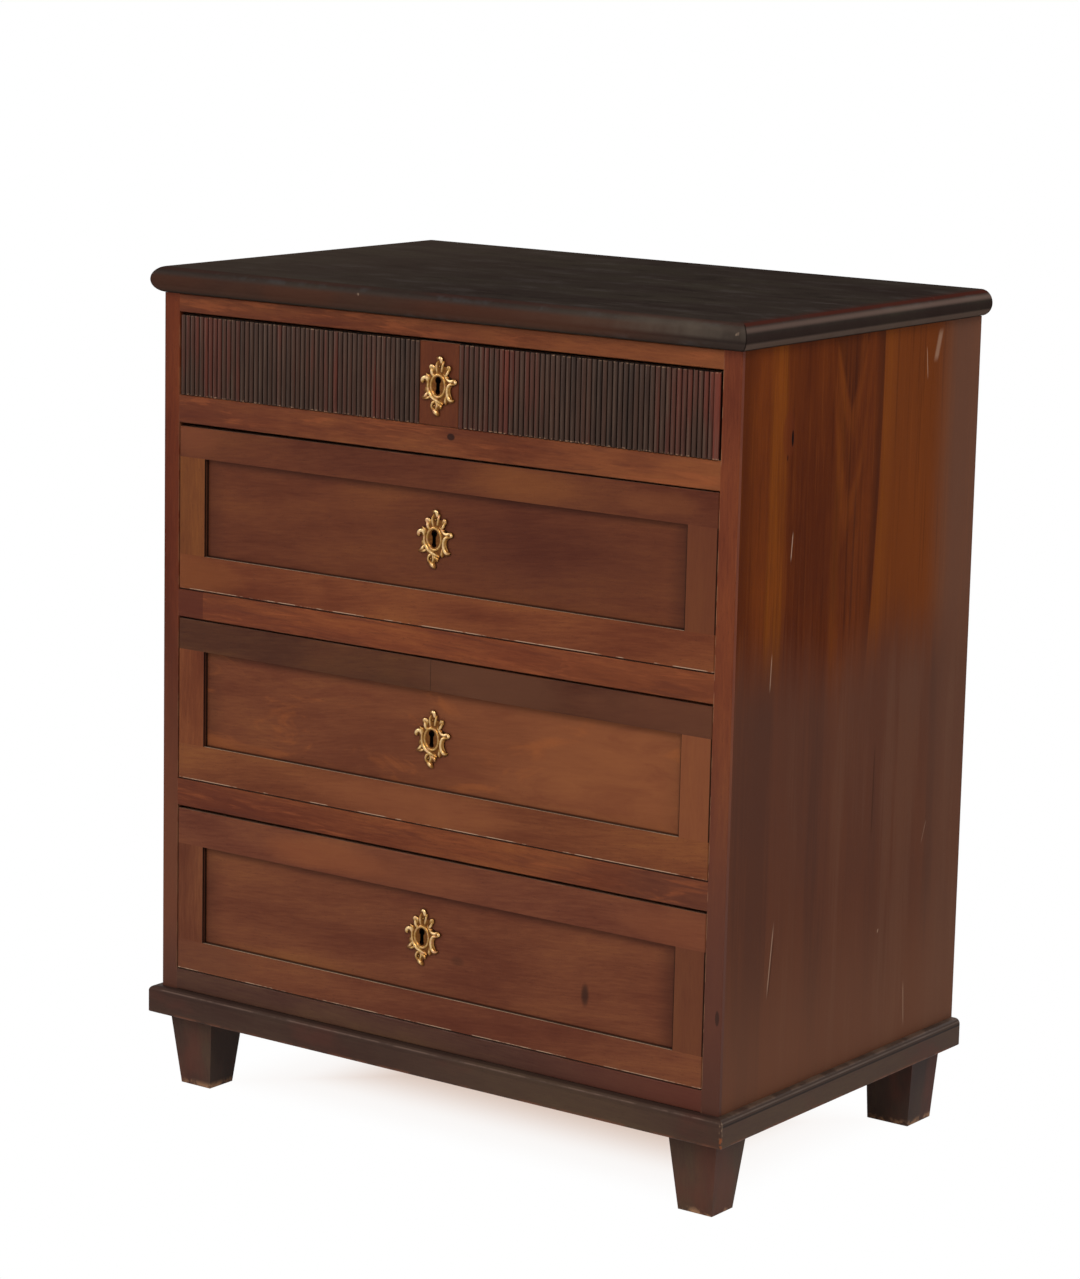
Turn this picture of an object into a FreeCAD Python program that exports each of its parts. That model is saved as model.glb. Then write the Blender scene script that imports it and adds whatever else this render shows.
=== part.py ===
import FreeCAD, Part
import math
import os

from FreeCAD import Vector

# Chest of four drawers, in millimetres. +Z is up, +X runs to the right along the front and +Y to the back.
# The origin lies on the floor, midway under the outline of the top.
# Drawer 1 is the shallow one under the top, and drawer 4 is the lowest.

# Case
case_width = 698.0
case_depth = 436.6
side_thickness = 20.0
edge_strip_thickness = 5.0
edge_easing = 0.8
bottom_board_thickness = 12.0
bottom_board_housing = 6.0
back_board_thickness = 10.0
back_rebate_width = 10.0
back_board_count = 4
back_board_gap = 0.4

# Top
top_thickness = 26.7
top_overhang = 10.5
top_back_overhang = 2.0

# Front rails
top_rail_height = 18.2
rail_height = 28.3
bottom_rail_height = 21.8
rail_depth = 70.0
tenon_length = 8.0
tenon_width = 38.0
tenon_shoulder = 4.0
tenon_setback = 16.0

# Drawer openings
opening_1_height = 84.2
opening_2_height = 172.0
opening_3_height = 170.5
opening_4_height = 175.2

# Runners, kickers and stops
runner_width = 18.0
stop_length = 30.0
stop_depth = 12.0
stop_height = 6.0
stop_spread = 170.0
stop_gap = 0.3

# Plinth
plinth_height = 28.1
plinth_overhang = 10.0
plinth_width = 75.0
plinth_rounding = 5.5
plinth_back_width = 60.0
plinth_tongue_length = 10.0
plinth_tongue_thickness = 10.0
plinth_tongue_shoulder = 9.5

# Feet
foot_height = 78.4
foot_width = 56.0
foot_depth = 53.0
foot_side_inset = 15.5
foot_front_inset = 17.0
foot_rear_inset = 13.5
front_foot_taper = 8.5
rear_foot_taper = 8.0
foot_tenon_size = 22.0
foot_tenon_length = 16.0

# Drawer boxes
side_gap = 1.0
running_gap = 0.3
rear_gap = 12.0
core_thickness = 18.0
drawer_side_thickness = 12.0
drawer_side_drop = 4.0
drawer_back_thickness = 12.0
drawer_back_drop = 6.0
drawer_bottom_thickness = 7.0
drawer_bottom_raise = 8.0
groove_depth = 5.0
tail_length = 12.0
tail_flare = 2.0
pin_width = 9.0
shallow_tail_count = 2
deep_tail_count = 4

# Raised frames of drawers 2 to 4
frame_thickness = 4.0
frame_end_width = 34.0
frame_2_top_width = 32.0
frame_2_bottom_width = 36.7
frame_3_top_width = 31.0
frame_3_bottom_width = 37.8
frame_4_top_width = 36.8
frame_4_bottom_width = 32.8

# Gaps above the drawer fronts, which are worn unevenly
top_gap_1_left = 2.8
top_gap_1_right = 2.8
top_gap_2_left = 3.8
top_gap_2_right = 1.6
top_gap_3_left = 2.0
top_gap_3_right = 2.6
top_gap_4_left = 3.2
top_gap_4_right = 3.0

# Reeded front of drawer 1
centre_block_width = 47.4
centre_block_offset = 2.2
centre_block_thickness = 4.6
reed_pitch = 6.0
reed_valley = 0.7
reed_base_thickness = 2.8
end_reed_width = 9.0
end_reed_rounding = 1.2
facing_end_gap = 1.5

# Keyholes and escutcheons
keyhole_radius = 3.6
keyhole_slot_width = 5.4
keyhole_height = 17.6
keyhole_side_shift = -1.8
escutcheon_half_width = 23.0
escutcheon_half_height = 29.6
escutcheon_thickness = 1.6
escutcheon_relief = 1.3
escutcheon_1_offset = 4.0
escutcheon_2_offset = -1.0
escutcheon_3_offset = 0.0
escutcheon_4_offset = -8.0
escutcheon_1_rise = 39.2
escutcheon_2_rise = 88.9
escutcheon_3_rise = 88.6
escutcheon_4_rise = 89.8
pin_shank_radius = 0.8
pin_head_radius = 1.7
pin_head_height = 1.0
pin_length = 3.6
pin_hole_clearance = 0.1
pin_sides = 12

# Locks
lock_metal = 1.5
lock_case_width = 58.0
lock_case_depth = 12.0
lock_below_key = 16.0
lock_plate_margin = 6.0
bolt_head_width = 24.0
bolt_head_height = 13.0
bolt_thickness = 6.0
bolt_stem_width = 11.0
bolt_foot_width = 22.0
bolt_foot_height = 15.0
bolt_notch_radius = 5.0
bolt_clearance = 0.3
bolt_travel = 10.0
bolt_mortise_clearance = 1.0

# One overrun for every cut that runs out of a piece
overrun = 5.0

# Section of one half-round reed: shares of its width and of its rise, from its left edge to its right
reed_rise_share = 0.95
reed_section_shares = ((0, 0), (0.15, 0.71), (0.5, 1), (0.85, 0.71), (1, 0))

# Outline of the cast escutcheon, clockwise from its finial as seen from the front. Each pair is a share of its
# half width and a share of its half height.
outline_shares = (
    (-0.03, 0.99), (0.09, 0.95), (0.12, 0.87), (0.19, 0.83), (0.16, 0.66), (0.28, 0.65), (0.41, 0.71),
    (0.51, 0.62), (0.49, 0.50), (0.39, 0.39), (0.52, 0.27), (0.66, 0.29), (0.83, 0.29), (0.94, 0.20),
    (0.86, 0.10), (0.71, 0.07), (0.62, 0.00), (0.58, -0.12), (0.62, -0.25), (0.70, -0.36), (0.81, -0.42),
    (0.75, -0.48), (0.58, -0.53), (0.46, -0.50), (0.40, -0.59), (0.25, -0.54), (0.18, -0.67), (0.08, -0.78),
    (-0.03, -0.76), (0.05, -0.93), (0.01, -1.00), (-0.10, -1.00), (-0.25, -0.95), (-0.32, -0.83),
    (-0.43, -0.82), (-0.41, -0.65), (-0.43, -0.51), (-0.57, -0.42), (-0.67, -0.51), (-0.85, -0.50),
    (-0.96, -0.46), (-0.81, -0.33), (-0.73, -0.29), (-0.81, -0.22), (-0.72, 0.02), (-0.79, 0.13),
    (-0.93, 0.06), (-1.00, 0.11), (-1.00, 0.19), (-0.92, 0.26), (-0.80, 0.29), (-0.70, 0.38), (-0.53, 0.34),
    (-0.49, 0.45), (-0.60, 0.56), (-0.49, 0.66), (-0.24, 0.64), (-0.16, 0.79), (-0.24, 0.91), (-0.17, 0.96),
)

# Raised bosses of the escutcheon: x share, z share, and radius as a share of the half width
boss_shares = (
    (-0.05, 0.88, 0.10),
    (-0.46, 0.55, 0.11),
    (0.38, 0.56, 0.11),
    (-0.88, 0.17, 0.10),
    (0.78, 0.19, 0.12),
    (-0.78, -0.41, 0.09),
    (0.64, -0.43, 0.10),
    (-0.11, -0.89, 0.09),
)
boss_sides = 8
boss_draft_share = 0.7
oval_sides = 24
rim_width_share = 0.50
rim_height_share = 0.45
dish_width_share = 0.40
dish_height_share = 0.36
pin_place_shares = ((-0.07, 0.64), (-0.235, -0.69))

# Levels and planes worked out from the sizes above
case_half = case_width / 2
inner_half = case_half - side_thickness
top_depth = top_overhang + case_depth + top_back_overhang
front_y = top_overhang - top_depth / 2
back_y = front_y + case_depth
rail_back_y = front_y + rail_depth
back_boards_y = back_y - back_board_thickness
case_bottom = foot_height + plinth_height
floor_4 = case_bottom + bottom_rail_height
ceiling_4 = floor_4 + opening_4_height
floor_3 = ceiling_4 + rail_height
ceiling_3 = floor_3 + opening_3_height
floor_2 = ceiling_3 + rail_height
ceiling_2 = floor_2 + opening_2_height
floor_1 = ceiling_2 + rail_height
ceiling_1 = floor_1 + opening_1_height
case_top = ceiling_1 + top_rail_height
core_front_y = front_y + frame_thickness
core_back_y = core_front_y + core_thickness
drawer_rear_y = back_boards_y - rear_gap
drawer_half = inner_half - side_gap
plinth_half = case_half + plinth_overhang
plinth_front_y = front_y - plinth_overhang


def board(x_low, x_high, y_low, y_high, z_low, z_high):
    """Square-edged board between two limits on each axis."""
    corner = Vector(x_low, y_low, z_low)
    return Part.makeBox(x_high - x_low, y_high - y_low, z_high - z_low, corner)


def prism(points, push):
    """Flat outline through the points, pushed along a vector."""
    outline = Part.makePolygon(points + points[:1])
    return Part.Face(outline).extrude(push)


def mirrored(shape):
    """The same piece for the other side of the chest."""
    return shape.mirror(Vector(0, 0, 0), Vector(1, 0, 0))


def cut_all(shape, tools):
    """The shape with every tool taken out of it."""
    for tool in tools:
        shape = shape.cut(tool)
    return shape


def eased(shape, is_worn):
    """The shape with a small bevel on those straight edges whose middle passes the test."""
    edges = [edge for edge in shape.Edges if is_worn(edge.CenterOfMass)]
    return shape.makeChamfer(edge_easing, edges)


def near(value, target):
    """True where a coordinate lies on a plane of the piece."""
    return abs(value - target) < edge_easing / 2


class Drawer:
    """The levels, gaps and places that belong to one drawer."""

    def __init__(self, number, floor, ceiling, gap_left, gap_right, offset, rise):
        self.number = number
        self.floor = floor
        self.ceiling = ceiling
        self.bottom = floor + running_gap
        self.top_left = ceiling - gap_left
        self.top_right = ceiling - gap_right
        self.top_middle = (self.top_left + self.top_right) / 2
        self.side_top = min(self.top_left, self.top_right) - drawer_side_drop
        self.panel_low = self.bottom + drawer_bottom_raise
        self.panel_high = self.panel_low + drawer_bottom_thickness
        self.plate_x = offset
        self.key_x = offset + keyhole_side_shift
        self.key_z = floor + rise
        self.key_low = self.key_z - keyhole_height / 2
        self.lock_low = self.key_z - lock_below_key
        plate_half = lock_case_width / 2 + lock_plate_margin
        self.lock_top = min(self.top_at(self.key_x - plate_half), self.top_at(self.key_x + plate_half))
        self.face_y = core_front_y
        self.tail_count = deep_tail_count
        if number == 1:
            self.face_y = core_front_y - centre_block_thickness
            self.tail_count = shallow_tail_count

    def top_at(self, x):
        """Level of the front's sloping upper edge at a place along it."""
        run_share = (x + drawer_half) / (drawer_half + drawer_half)
        return self.top_left + (self.top_right - self.top_left) * run_share


# Case

def make_top():
    """Top board with a half-round nose on the front and both ends, mitred where the noses meet."""
    nose = top_thickness / 2
    half = case_half + top_overhang
    low = case_top
    high = case_top + top_thickness
    middle = case_top + nose
    front = front_y - top_overhang
    back = back_y + top_back_overhang
    arc = Part.Arc(Vector(-half, front + nose, high), Vector(-half, front, middle), Vector(-half, front + nose, low))
    edges = [
        arc.toShape(),
        Part.makeLine(Vector(-half, front + nose, low), Vector(-half, back, low)),
        Part.makeLine(Vector(-half, back, low), Vector(-half, back, high)),
        Part.makeLine(Vector(-half, back, high), Vector(-half, front + nose, high)),
    ]
    along_front = Part.Face(Part.Wire(edges)).extrude(Vector(half + half, 0, 0))
    left_arc = Part.Arc(Vector(nose - half, front, high), Vector(-half, front, middle), Vector(nose - half, front, low))
    right_arc = Part.Arc(Vector(half - nose, front, low), Vector(half, front, middle), Vector(half - nose, front, high))
    edges = [
        left_arc.toShape(),
        Part.makeLine(Vector(nose - half, front, low), Vector(half - nose, front, low)),
        right_arc.toShape(),
        Part.makeLine(Vector(half - nose, front, high), Vector(nose - half, front, high)),
    ]
    along_sides = Part.Face(Part.Wire(edges)).extrude(Vector(0, top_depth, 0))
    return along_front.common(along_sides)


def make_rail(low, high, drawer_below):
    """Front rail with a stub tenon at each end and, where a drawer lies below, a mortise for its bolt."""
    section = [
        Vector(-inner_half, front_y + edge_easing, low),
        Vector(-inner_half, rail_back_y, low),
        Vector(-inner_half, rail_back_y, high),
        Vector(-inner_half, front_y + edge_easing, high),
        Vector(-inner_half, front_y, high - edge_easing),
        Vector(-inner_half, front_y, low + edge_easing),
    ]
    rail = prism(section, Vector(inner_half + inner_half, 0, 0))
    tenon_y = front_y + tenon_setback
    tenon_half = inner_half + tenon_length
    tenons = board(-tenon_half, tenon_half, tenon_y, tenon_y + tenon_width, low + tenon_shoulder, high - tenon_shoulder)
    rail = rail.fuse(tenons).removeSplitter()
    if drawer_below is not None:
        rail = rail.cut(bolt_mortise(drawer_below))
    return rail


def bolt_mortise(drawer):
    """Room in the rail above a drawer for its raised bolt."""
    half = bolt_head_width / 2 + bolt_mortise_clearance
    low_y = bolt_y() - bolt_thickness / 2 - bolt_mortise_clearance
    high_y = bolt_y() + bolt_thickness / 2 + bolt_mortise_clearance
    top = drawer.lock_top + bolt_travel + bolt_mortise_clearance
    return board(drawer.key_x - half, drawer.key_x + half, low_y, high_y, drawer.ceiling - overrun, top)


def make_bottom_board():
    """Bottom board, let into a housing along the foot of each side."""
    half = inner_half + bottom_board_housing
    return board(-half, half, rail_back_y, back_boards_y, case_bottom, case_bottom + bottom_board_thickness)


def make_side(rails, bottom_board):
    """Right-hand side board, rebated for the back and cut for the rails and the bottom board."""
    side = board(inner_half, case_half, front_y + edge_strip_thickness, back_y, case_bottom, case_top)
    rebate = board(
        inner_half - overrun,
        inner_half + back_rebate_width,
        back_boards_y,
        back_y + overrun,
        case_bottom - overrun,
        case_top + overrun,
    )
    return cut_all(side, [rebate, bottom_board] + rails)


def make_edge_strip():
    """Strip glued to the front edge of the right-hand side."""
    strip = board(inner_half, case_half, front_y, front_y + edge_strip_thickness, case_bottom, case_top)
    return eased(strip, lambda middle: near(middle.x, case_half) and near(middle.y, front_y))


def make_back_boards():
    """Upright back boards, side by side in the rebates of the sides."""
    span_half = inner_half + back_rebate_width
    width = (span_half + span_half - back_board_gap * (back_board_count - 1)) / back_board_count
    boards = []
    for index in range(back_board_count):
        left = index * (width + back_board_gap) - span_half
        boards.append(board(left, left + width, back_boards_y, back_y, case_bottom, case_top))
    return Part.makeCompound(boards)


def make_runner_pair(low, high):
    """Two bars along the sides, between the rail and the back boards."""
    right = board(inner_half - runner_width, inner_half, rail_back_y, back_boards_y, low, high)
    return [mirrored(right), right]


def make_stops(floor):
    """Two small blocks on a rail, which meet the back of the closed drawer front."""
    near_y = core_back_y + stop_gap
    stops = []
    for centre in (-stop_spread, stop_spread):
        left = centre - stop_length / 2
        stops.append(board(left, left + stop_length, near_y, near_y + stop_depth, floor, floor + stop_height))
    return stops


# Plinth and feet

def plinth_section(x_outer, toward_inside, y_outer):
    """Closed outline of a plinth piece that lies along the front (x_outer None) or along a side."""
    low = foot_height
    high = case_bottom
    turn = plinth_rounding * (1 - math.sqrt(1 / 2))
    depths = [
        (edge_easing, low),
        (plinth_width, low),
        (plinth_width, high),
        (plinth_rounding, high),
    ]
    arc_points = [(plinth_rounding, high), (turn, high - turn), (0, high - plinth_rounding)]
    tail = [(0, high - plinth_rounding), (0, low + edge_easing), (edge_easing, low)]

    def place(pair):
        depth, level = pair
        if x_outer is None:
            return Vector(-plinth_half, y_outer + depth, level)
        return Vector(x_outer + toward_inside * depth, y_outer, level)

    edges = []
    for start, end in zip(depths, depths[1:]):
        edges.append(Part.makeLine(place(start), place(end)))
    edges.append(Part.Arc(place(arc_points[0]), place(arc_points[1]), place(arc_points[2])).toShape())
    for start, end in zip(tail, tail[1:]):
        edges.append(Part.makeLine(place(start), place(end)))
    return Part.Face(Part.Wire(edges))


def make_plinth_front(foot_tenons):
    """Front piece of the plinth, mitred at both ends."""
    bar = plinth_section(None, 0, plinth_front_y).extrude(Vector(plinth_half + plinth_half, 0, 0))
    inner = plinth_half - plinth_width
    plan = [
        Vector(-plinth_half, plinth_front_y, foot_height),
        Vector(plinth_half, plinth_front_y, foot_height),
        Vector(inner, plinth_front_y + plinth_width, foot_height),
        Vector(-inner, plinth_front_y + plinth_width, foot_height),
    ]
    mitred = bar.common(prism(plan, Vector(0, 0, plinth_height)))
    return cut_all(mitred, foot_tenons)


def make_plinth_side(foot_tenons, plinth_back):
    """Right-hand piece of the plinth, mitred at the front and square at the back."""
    bar = plinth_section(plinth_half, -1, plinth_front_y).extrude(Vector(0, back_y - plinth_front_y, 0))
    inner = plinth_half - plinth_width
    plan = [
        Vector(plinth_half, plinth_front_y, foot_height),
        Vector(plinth_half, back_y, foot_height),
        Vector(inner, back_y, foot_height),
        Vector(inner, plinth_front_y + plinth_width, foot_height),
    ]
    mitred = bar.common(prism(plan, Vector(0, 0, plinth_height)))
    return cut_all(mitred, foot_tenons + [plinth_back])


def make_plinth_back():
    """Rear piece of the plinth, tongued into the side pieces."""
    inner = plinth_half - plinth_width
    low_y = back_y - plinth_back_width
    rail = board(-inner, inner, low_y, back_y, foot_height, case_bottom)
    tongue_half = inner + plinth_tongue_length
    tongue_low = foot_height + (plinth_height - plinth_tongue_thickness) / 2
    tongue = board(
        -tongue_half,
        tongue_half,
        low_y + plinth_tongue_shoulder,
        back_y - plinth_tongue_shoulder,
        tongue_low,
        tongue_low + plinth_tongue_thickness,
    )
    return rail.fuse(tongue).removeSplitter()


def between_rings(low, high):
    """Solid between two rings that have the same number of corners."""
    outlines = [low, high]
    for index in range(len(low)):
        following = (index + 1) % len(low)
        outlines.append([low[index], low[following], high[following], high[index]])
    faces = [Part.Face(Part.makePolygon(outline + outline[:1])) for outline in outlines]
    return Part.Solid(Part.Shell(faces))


def rectangle_ring(rectangle, level):
    """Corners of a level rectangle, given as x low, x high, y low and y high."""
    x_low, x_high, y_low, y_high = rectangle
    return [
        Vector(x_low, y_low, level),
        Vector(x_high, y_low, level),
        Vector(x_high, y_high, level),
        Vector(x_low, y_high, level),
    ]


def foot_corner(is_rear):
    """Lowest x and y of the right-hand foot's top."""
    x_low = plinth_half - foot_side_inset - foot_width
    y_low = plinth_front_y + foot_front_inset
    if is_rear:
        y_low = back_y - foot_rear_inset - foot_depth
    return x_low, y_low


def make_foot_tenon(is_rear):
    """Square tenon that holds the right-hand foot in the plinth."""
    x_low, y_low = foot_corner(is_rear)
    x_start = x_low + (foot_width - foot_tenon_size) / 2
    y_start = y_low + (foot_depth - foot_tenon_size) / 2
    return board(
        x_start,
        x_start + foot_tenon_size,
        y_start,
        y_start + foot_tenon_size,
        foot_height,
        foot_height + foot_tenon_length,
    )


def make_foot(is_rear):
    """Right-hand foot: the front ones taper on all four sides, the rear ones only outside and in front."""
    x_low, y_low = foot_corner(is_rear)
    top = (x_low, x_low + foot_width, y_low, y_low + foot_depth)
    taper = front_foot_taper
    bottom = (x_low + taper, x_low + foot_width - taper, y_low + taper, y_low + foot_depth - taper)
    if is_rear:
        bottom = (x_low, x_low + foot_width - rear_foot_taper, y_low + rear_foot_taper, y_low + foot_depth)
    leg = between_rings(rectangle_ring(bottom, 0), rectangle_ring(top, foot_height))
    return leg.fuse(make_foot_tenon(is_rear)).removeSplitter()


# Drawer boxes

def front_outline(drawer, y):
    """Corners of a drawer front: its upper edge slopes where the gap above it is uneven."""
    return [
        Vector(-drawer_half, y, drawer.bottom),
        Vector(drawer_half, y, drawer.bottom),
        Vector(drawer_half, y, drawer.top_right),
        Vector(-drawer_half, y, drawer.top_left),
    ]


def tails(low, high, count, root_y, tip_y, x_low, x_high):
    """Row of dovetails in one board: each widens from its root to its tip."""
    pitch = (high - low) / count
    tip_half = (pitch - pin_width) / 2
    root_half = tip_half - tail_flare
    row = []
    for index in range(count):
        centre = low + (index + 1 / 2) * pitch
        outline = [
            Vector(x_low, root_y, centre - root_half),
            Vector(x_low, root_y, centre + root_half),
            Vector(x_low, tip_y, centre + tip_half),
            Vector(x_low, tip_y, centre - tip_half),
        ]
        row.append(prism(outline, Vector(x_high - x_low, 0, 0)))
    return row


def make_drawer_bottom(drawer):
    """Thin bottom in the grooves of the front and sides, running out under the back."""
    half = drawer_half - drawer_side_thickness + groove_depth
    return board(-half, half, core_back_y - groove_depth, drawer_rear_y, drawer.panel_low, drawer.panel_high)


def front_tails(drawer):
    """Dovetails of the right-hand side that enter the front."""
    tip_y = core_back_y - tail_length
    x_low = drawer_half - drawer_side_thickness
    return tails(drawer.bottom, drawer.side_top, drawer.tail_count, core_back_y, tip_y, x_low, drawer_half)


def make_drawer_back(drawer):
    """Back board of a drawer, cut at both ends for the dovetails of the sides."""
    y_low = drawer_rear_y - drawer_back_thickness
    top = drawer.side_top - drawer_back_drop
    back = board(-drawer_half, drawer_half, y_low, drawer_rear_y, drawer.panel_high, top)
    x_low = drawer_half - drawer_side_thickness
    right = tails(drawer.panel_high, top, drawer.tail_count, y_low, drawer_rear_y, x_low, drawer_half)
    left = [mirrored(tail) for tail in right]
    return cut_all(back, right + left)


def make_drawer_side(drawer, drawer_back, drawer_bottom):
    """Right-hand side of a drawer, with dovetails at both ends and a groove for the bottom."""
    x_low = drawer_half - drawer_side_thickness
    side = board(x_low, drawer_half, core_back_y, drawer_rear_y, drawer.bottom, drawer.side_top)
    side = side.multiFuse(front_tails(drawer)).removeSplitter()
    return side.cut(drawer_back).cut(drawer_bottom)


def make_drawer_front(drawer, drawer_bottom):
    """Front board: sockets for the dovetails, groove for the bottom, mortise for the lock, keyhole and pin holes."""
    core = prism(front_outline(drawer, core_front_y), Vector(0, core_thickness, 0))
    right = front_tails(drawer)
    left = [mirrored(tail) for tail in right]
    lock = [lock_envelope(drawer), lock_rebate(drawer)]
    return cut_all(core, right + left + [drawer_bottom] + lock + [keyhole(drawer)] + pin_holes(drawer))


# Raised frames and reeding

def make_frame_rails(drawer, top_width, bottom_width):
    """Long strips along the upper and lower edges of a deep drawer front."""
    push = Vector(0, frame_thickness, 0)
    joint_top = drawer.top_middle - top_width
    joint_bottom = drawer.bottom + bottom_width
    whole = prism(front_outline(drawer, front_y), push)
    above = board(-case_half, case_half, front_y - overrun, core_front_y + overrun, joint_top, case_top)
    below = board(-case_half, case_half, front_y - overrun, core_front_y + overrun, case_bottom, joint_bottom)
    top_strip = eased(whole.common(above), lambda middle: near(middle.y, front_y) and not near(middle.z, joint_top))
    bottom_strip = eased(
        whole.common(below),
        lambda middle: near(middle.y, front_y) and not near(middle.z, joint_bottom),
    )
    return Part.makeCompound([top_strip, bottom_strip])


def make_frame_ends(drawer, top_width, bottom_width):
    """Short strips at the ends of a deep drawer front, between the long ones."""
    low = drawer.bottom + bottom_width
    high = drawer.top_middle - top_width
    right = board(drawer_half - frame_end_width, drawer_half, front_y, core_front_y, low, high)
    right = eased(right, lambda middle: near(middle.y, front_y) and near(middle.x, drawer_half))
    return Part.makeCompound([mirrored(right), right])


def reeded_plan(x_low, x_high, end_width, level):
    """Plan of a reeded facing: half-round reeds from the left, and a wider flat one of end_width at the right."""
    back = core_front_y
    base = core_front_y - reed_base_thickness
    run = x_high - x_low - end_width
    count = round(run / reed_pitch)
    pitch = run / count
    reed_width = pitch - reed_valley
    rise = reed_width / 2 * reed_rise_share
    corners = []
    for index in range(count):
        for width_share, rise_share in reed_section_shares:
            x = x_low + index * pitch + reed_width * width_share
            corners.append(Vector(x, base - rise * rise_share, level))
    if end_width > 0:
        left = x_high - end_width
        crest = base - rise
        corners.append(Vector(left, base, level))
        corners.append(Vector(left, crest + end_reed_rounding, level))
        corners.append(Vector(left + end_reed_rounding, crest, level))
        corners.append(Vector(x_high - end_reed_rounding, crest, level))
        corners.append(Vector(x_high, crest + end_reed_rounding, level))
    else:
        corners.append(Vector(x_high, base, level))
    corners.append(Vector(x_high, back, level))
    corners.append(Vector(x_low, back, level))
    return corners


def make_reeding(drawer, x_low, x_high, end_width):
    """Reeded facing over the whole height of the shallow drawer."""
    plan = reeded_plan(x_low, x_high, end_width, drawer.bottom)
    return prism(plan, Vector(0, 0, drawer.top_middle - drawer.bottom))


def make_centre_block(drawer):
    """Plain block between the two reeded facings, which carries the escutcheon."""
    left = centre_block_offset - centre_block_width / 2
    block = board(
        left,
        left + centre_block_width,
        core_front_y - centre_block_thickness,
        core_front_y,
        drawer.bottom,
        drawer.top_middle,
    )
    block = eased(block, lambda middle: near(middle.y, core_front_y - centre_block_thickness))
    return cut_all(block, [keyhole(drawer)] + pin_holes(drawer))


# Keyholes, escutcheons and locks

def keyhole(drawer):
    """Round-headed slot, long enough to pass the escutcheon, the front and the lock's cover."""
    y_low = drawer.face_y - escutcheon_thickness - escutcheon_relief - overrun
    depth = lock_front_y() + lock_metal + lock_metal / 2 - y_low
    head_z = drawer.key_low + keyhole_height - keyhole_radius
    head = Part.makeCylinder(keyhole_radius, depth, Vector(drawer.key_x, y_low, head_z), Vector(0, 1, 0))
    half = keyhole_slot_width / 2
    foot_z = drawer.key_low + half
    foot = Part.makeCylinder(half, depth, Vector(drawer.key_x, y_low, foot_z), Vector(0, 1, 0))
    slot = board(drawer.key_x - half, drawer.key_x + half, y_low, y_low + depth, foot_z, head_z)
    return head.fuse(slot).fuse(foot).removeSplitter()


def escutcheon_point(drawer, x_share, z_share):
    """Point on the face that the escutcheon lies on, at shares of its half width and half height."""
    x = drawer.plate_x + x_share * escutcheon_half_width
    return Vector(x, drawer.face_y, drawer.key_z + z_share * escutcheon_half_height)


def upright_ring(centre, half_width, half_height, sides):
    """Corners of an upright oval round a centre."""
    ring = []
    for index in range(sides):
        turn = 2 * math.pi * index / sides
        ring.append(centre + Vector(half_width * math.cos(turn), 0, half_height * math.sin(turn)))
    return ring


def pin_places(drawer):
    """Centres of the two escutcheon pins on the face that the escutcheon lies on."""
    return [escutcheon_point(drawer, x_share, z_share) for x_share, z_share in pin_place_shares]


def pin_holes(drawer):
    """Holes for the shanks of the escutcheon pins, from in front of the escutcheon into the wood."""
    radius = pin_shank_radius + pin_hole_clearance
    start = escutcheon_thickness + escutcheon_relief + overrun
    depth = start + pin_length + pin_hole_clearance
    holes = []
    for place in pin_places(drawer):
        mouth = upright_ring(place - Vector(0, start, 0), radius, radius, pin_sides)
        holes.append(prism(mouth, Vector(0, depth, 0)))
    return holes


def make_pins(drawer):
    """Two round-headed pins through the escutcheon."""
    pins = []
    for place in pin_places(drawer):
        under_head = place - Vector(0, escutcheon_thickness + escutcheon_relief, 0)
        shank_ring = upright_ring(under_head, pin_shank_radius, pin_shank_radius, pin_sides)
        shank = prism(shank_ring, Vector(0, escutcheon_thickness + escutcheon_relief + pin_length, 0))
        crown_centre = under_head - Vector(0, pin_head_height, 0)
        crown_radius = pin_head_radius / 2
        head_ring = upright_ring(under_head, pin_head_radius, pin_head_radius, pin_sides)
        crown_ring = upright_ring(crown_centre, crown_radius, crown_radius, pin_sides)
        pins.append(shank.fuse(between_rings(head_ring, crown_ring)))
    return pins


def oval(drawer, width_share, height_share, low, high):
    """Upright oval disc on the escutcheon's centre, between two heights above the face."""
    half_width = width_share * escutcheon_half_width
    half_height = height_share * escutcheon_half_height
    centre = escutcheon_point(drawer, 0, 0) - Vector(0, low, 0)
    return prism(upright_ring(centre, half_width, half_height, oval_sides), Vector(0, low - high, 0))


def boss(drawer, x_share, z_share, radius_share):
    """Raised boss on the escutcheon, narrower at its top."""
    foot = radius_share * escutcheon_half_width
    crown = foot * boss_draft_share
    centre = escutcheon_point(drawer, x_share, z_share)
    top = centre - Vector(0, escutcheon_thickness + escutcheon_relief, 0)
    return between_rings(upright_ring(centre, foot, foot, boss_sides), upright_ring(top, crown, crown, boss_sides))


def make_escutcheon(drawer):
    """Cast cartouche: a scrolled plate with a raised rim round the keyhole, and bosses on its scrolls."""
    full = escutcheon_thickness + escutcheon_relief
    outline = [escutcheon_point(drawer, x_share, z_share) for x_share, z_share in outline_shares]
    plate = prism(outline, Vector(0, -escutcheon_thickness, 0))
    bosses = [boss(drawer, x_share, z_share, radius_share) for x_share, z_share, radius_share in boss_shares]
    rim = oval(drawer, rim_width_share, rim_height_share, 0, full)
    dish = oval(drawer, dish_width_share, dish_height_share, escutcheon_thickness, full + overrun)
    casting = plate.multiFuse(bosses + [rim]).cut(dish)
    return cut_all(casting, [keyhole(drawer)] + pin_holes(drawer)).removeSplitter()


def lock_front_y():
    """Front of the lock case, inside the drawer front."""
    return core_back_y - lock_case_depth - lock_metal


def bolt_y():
    """Middle plane of the bolt."""
    return (lock_front_y() + core_back_y) / 2


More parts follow.
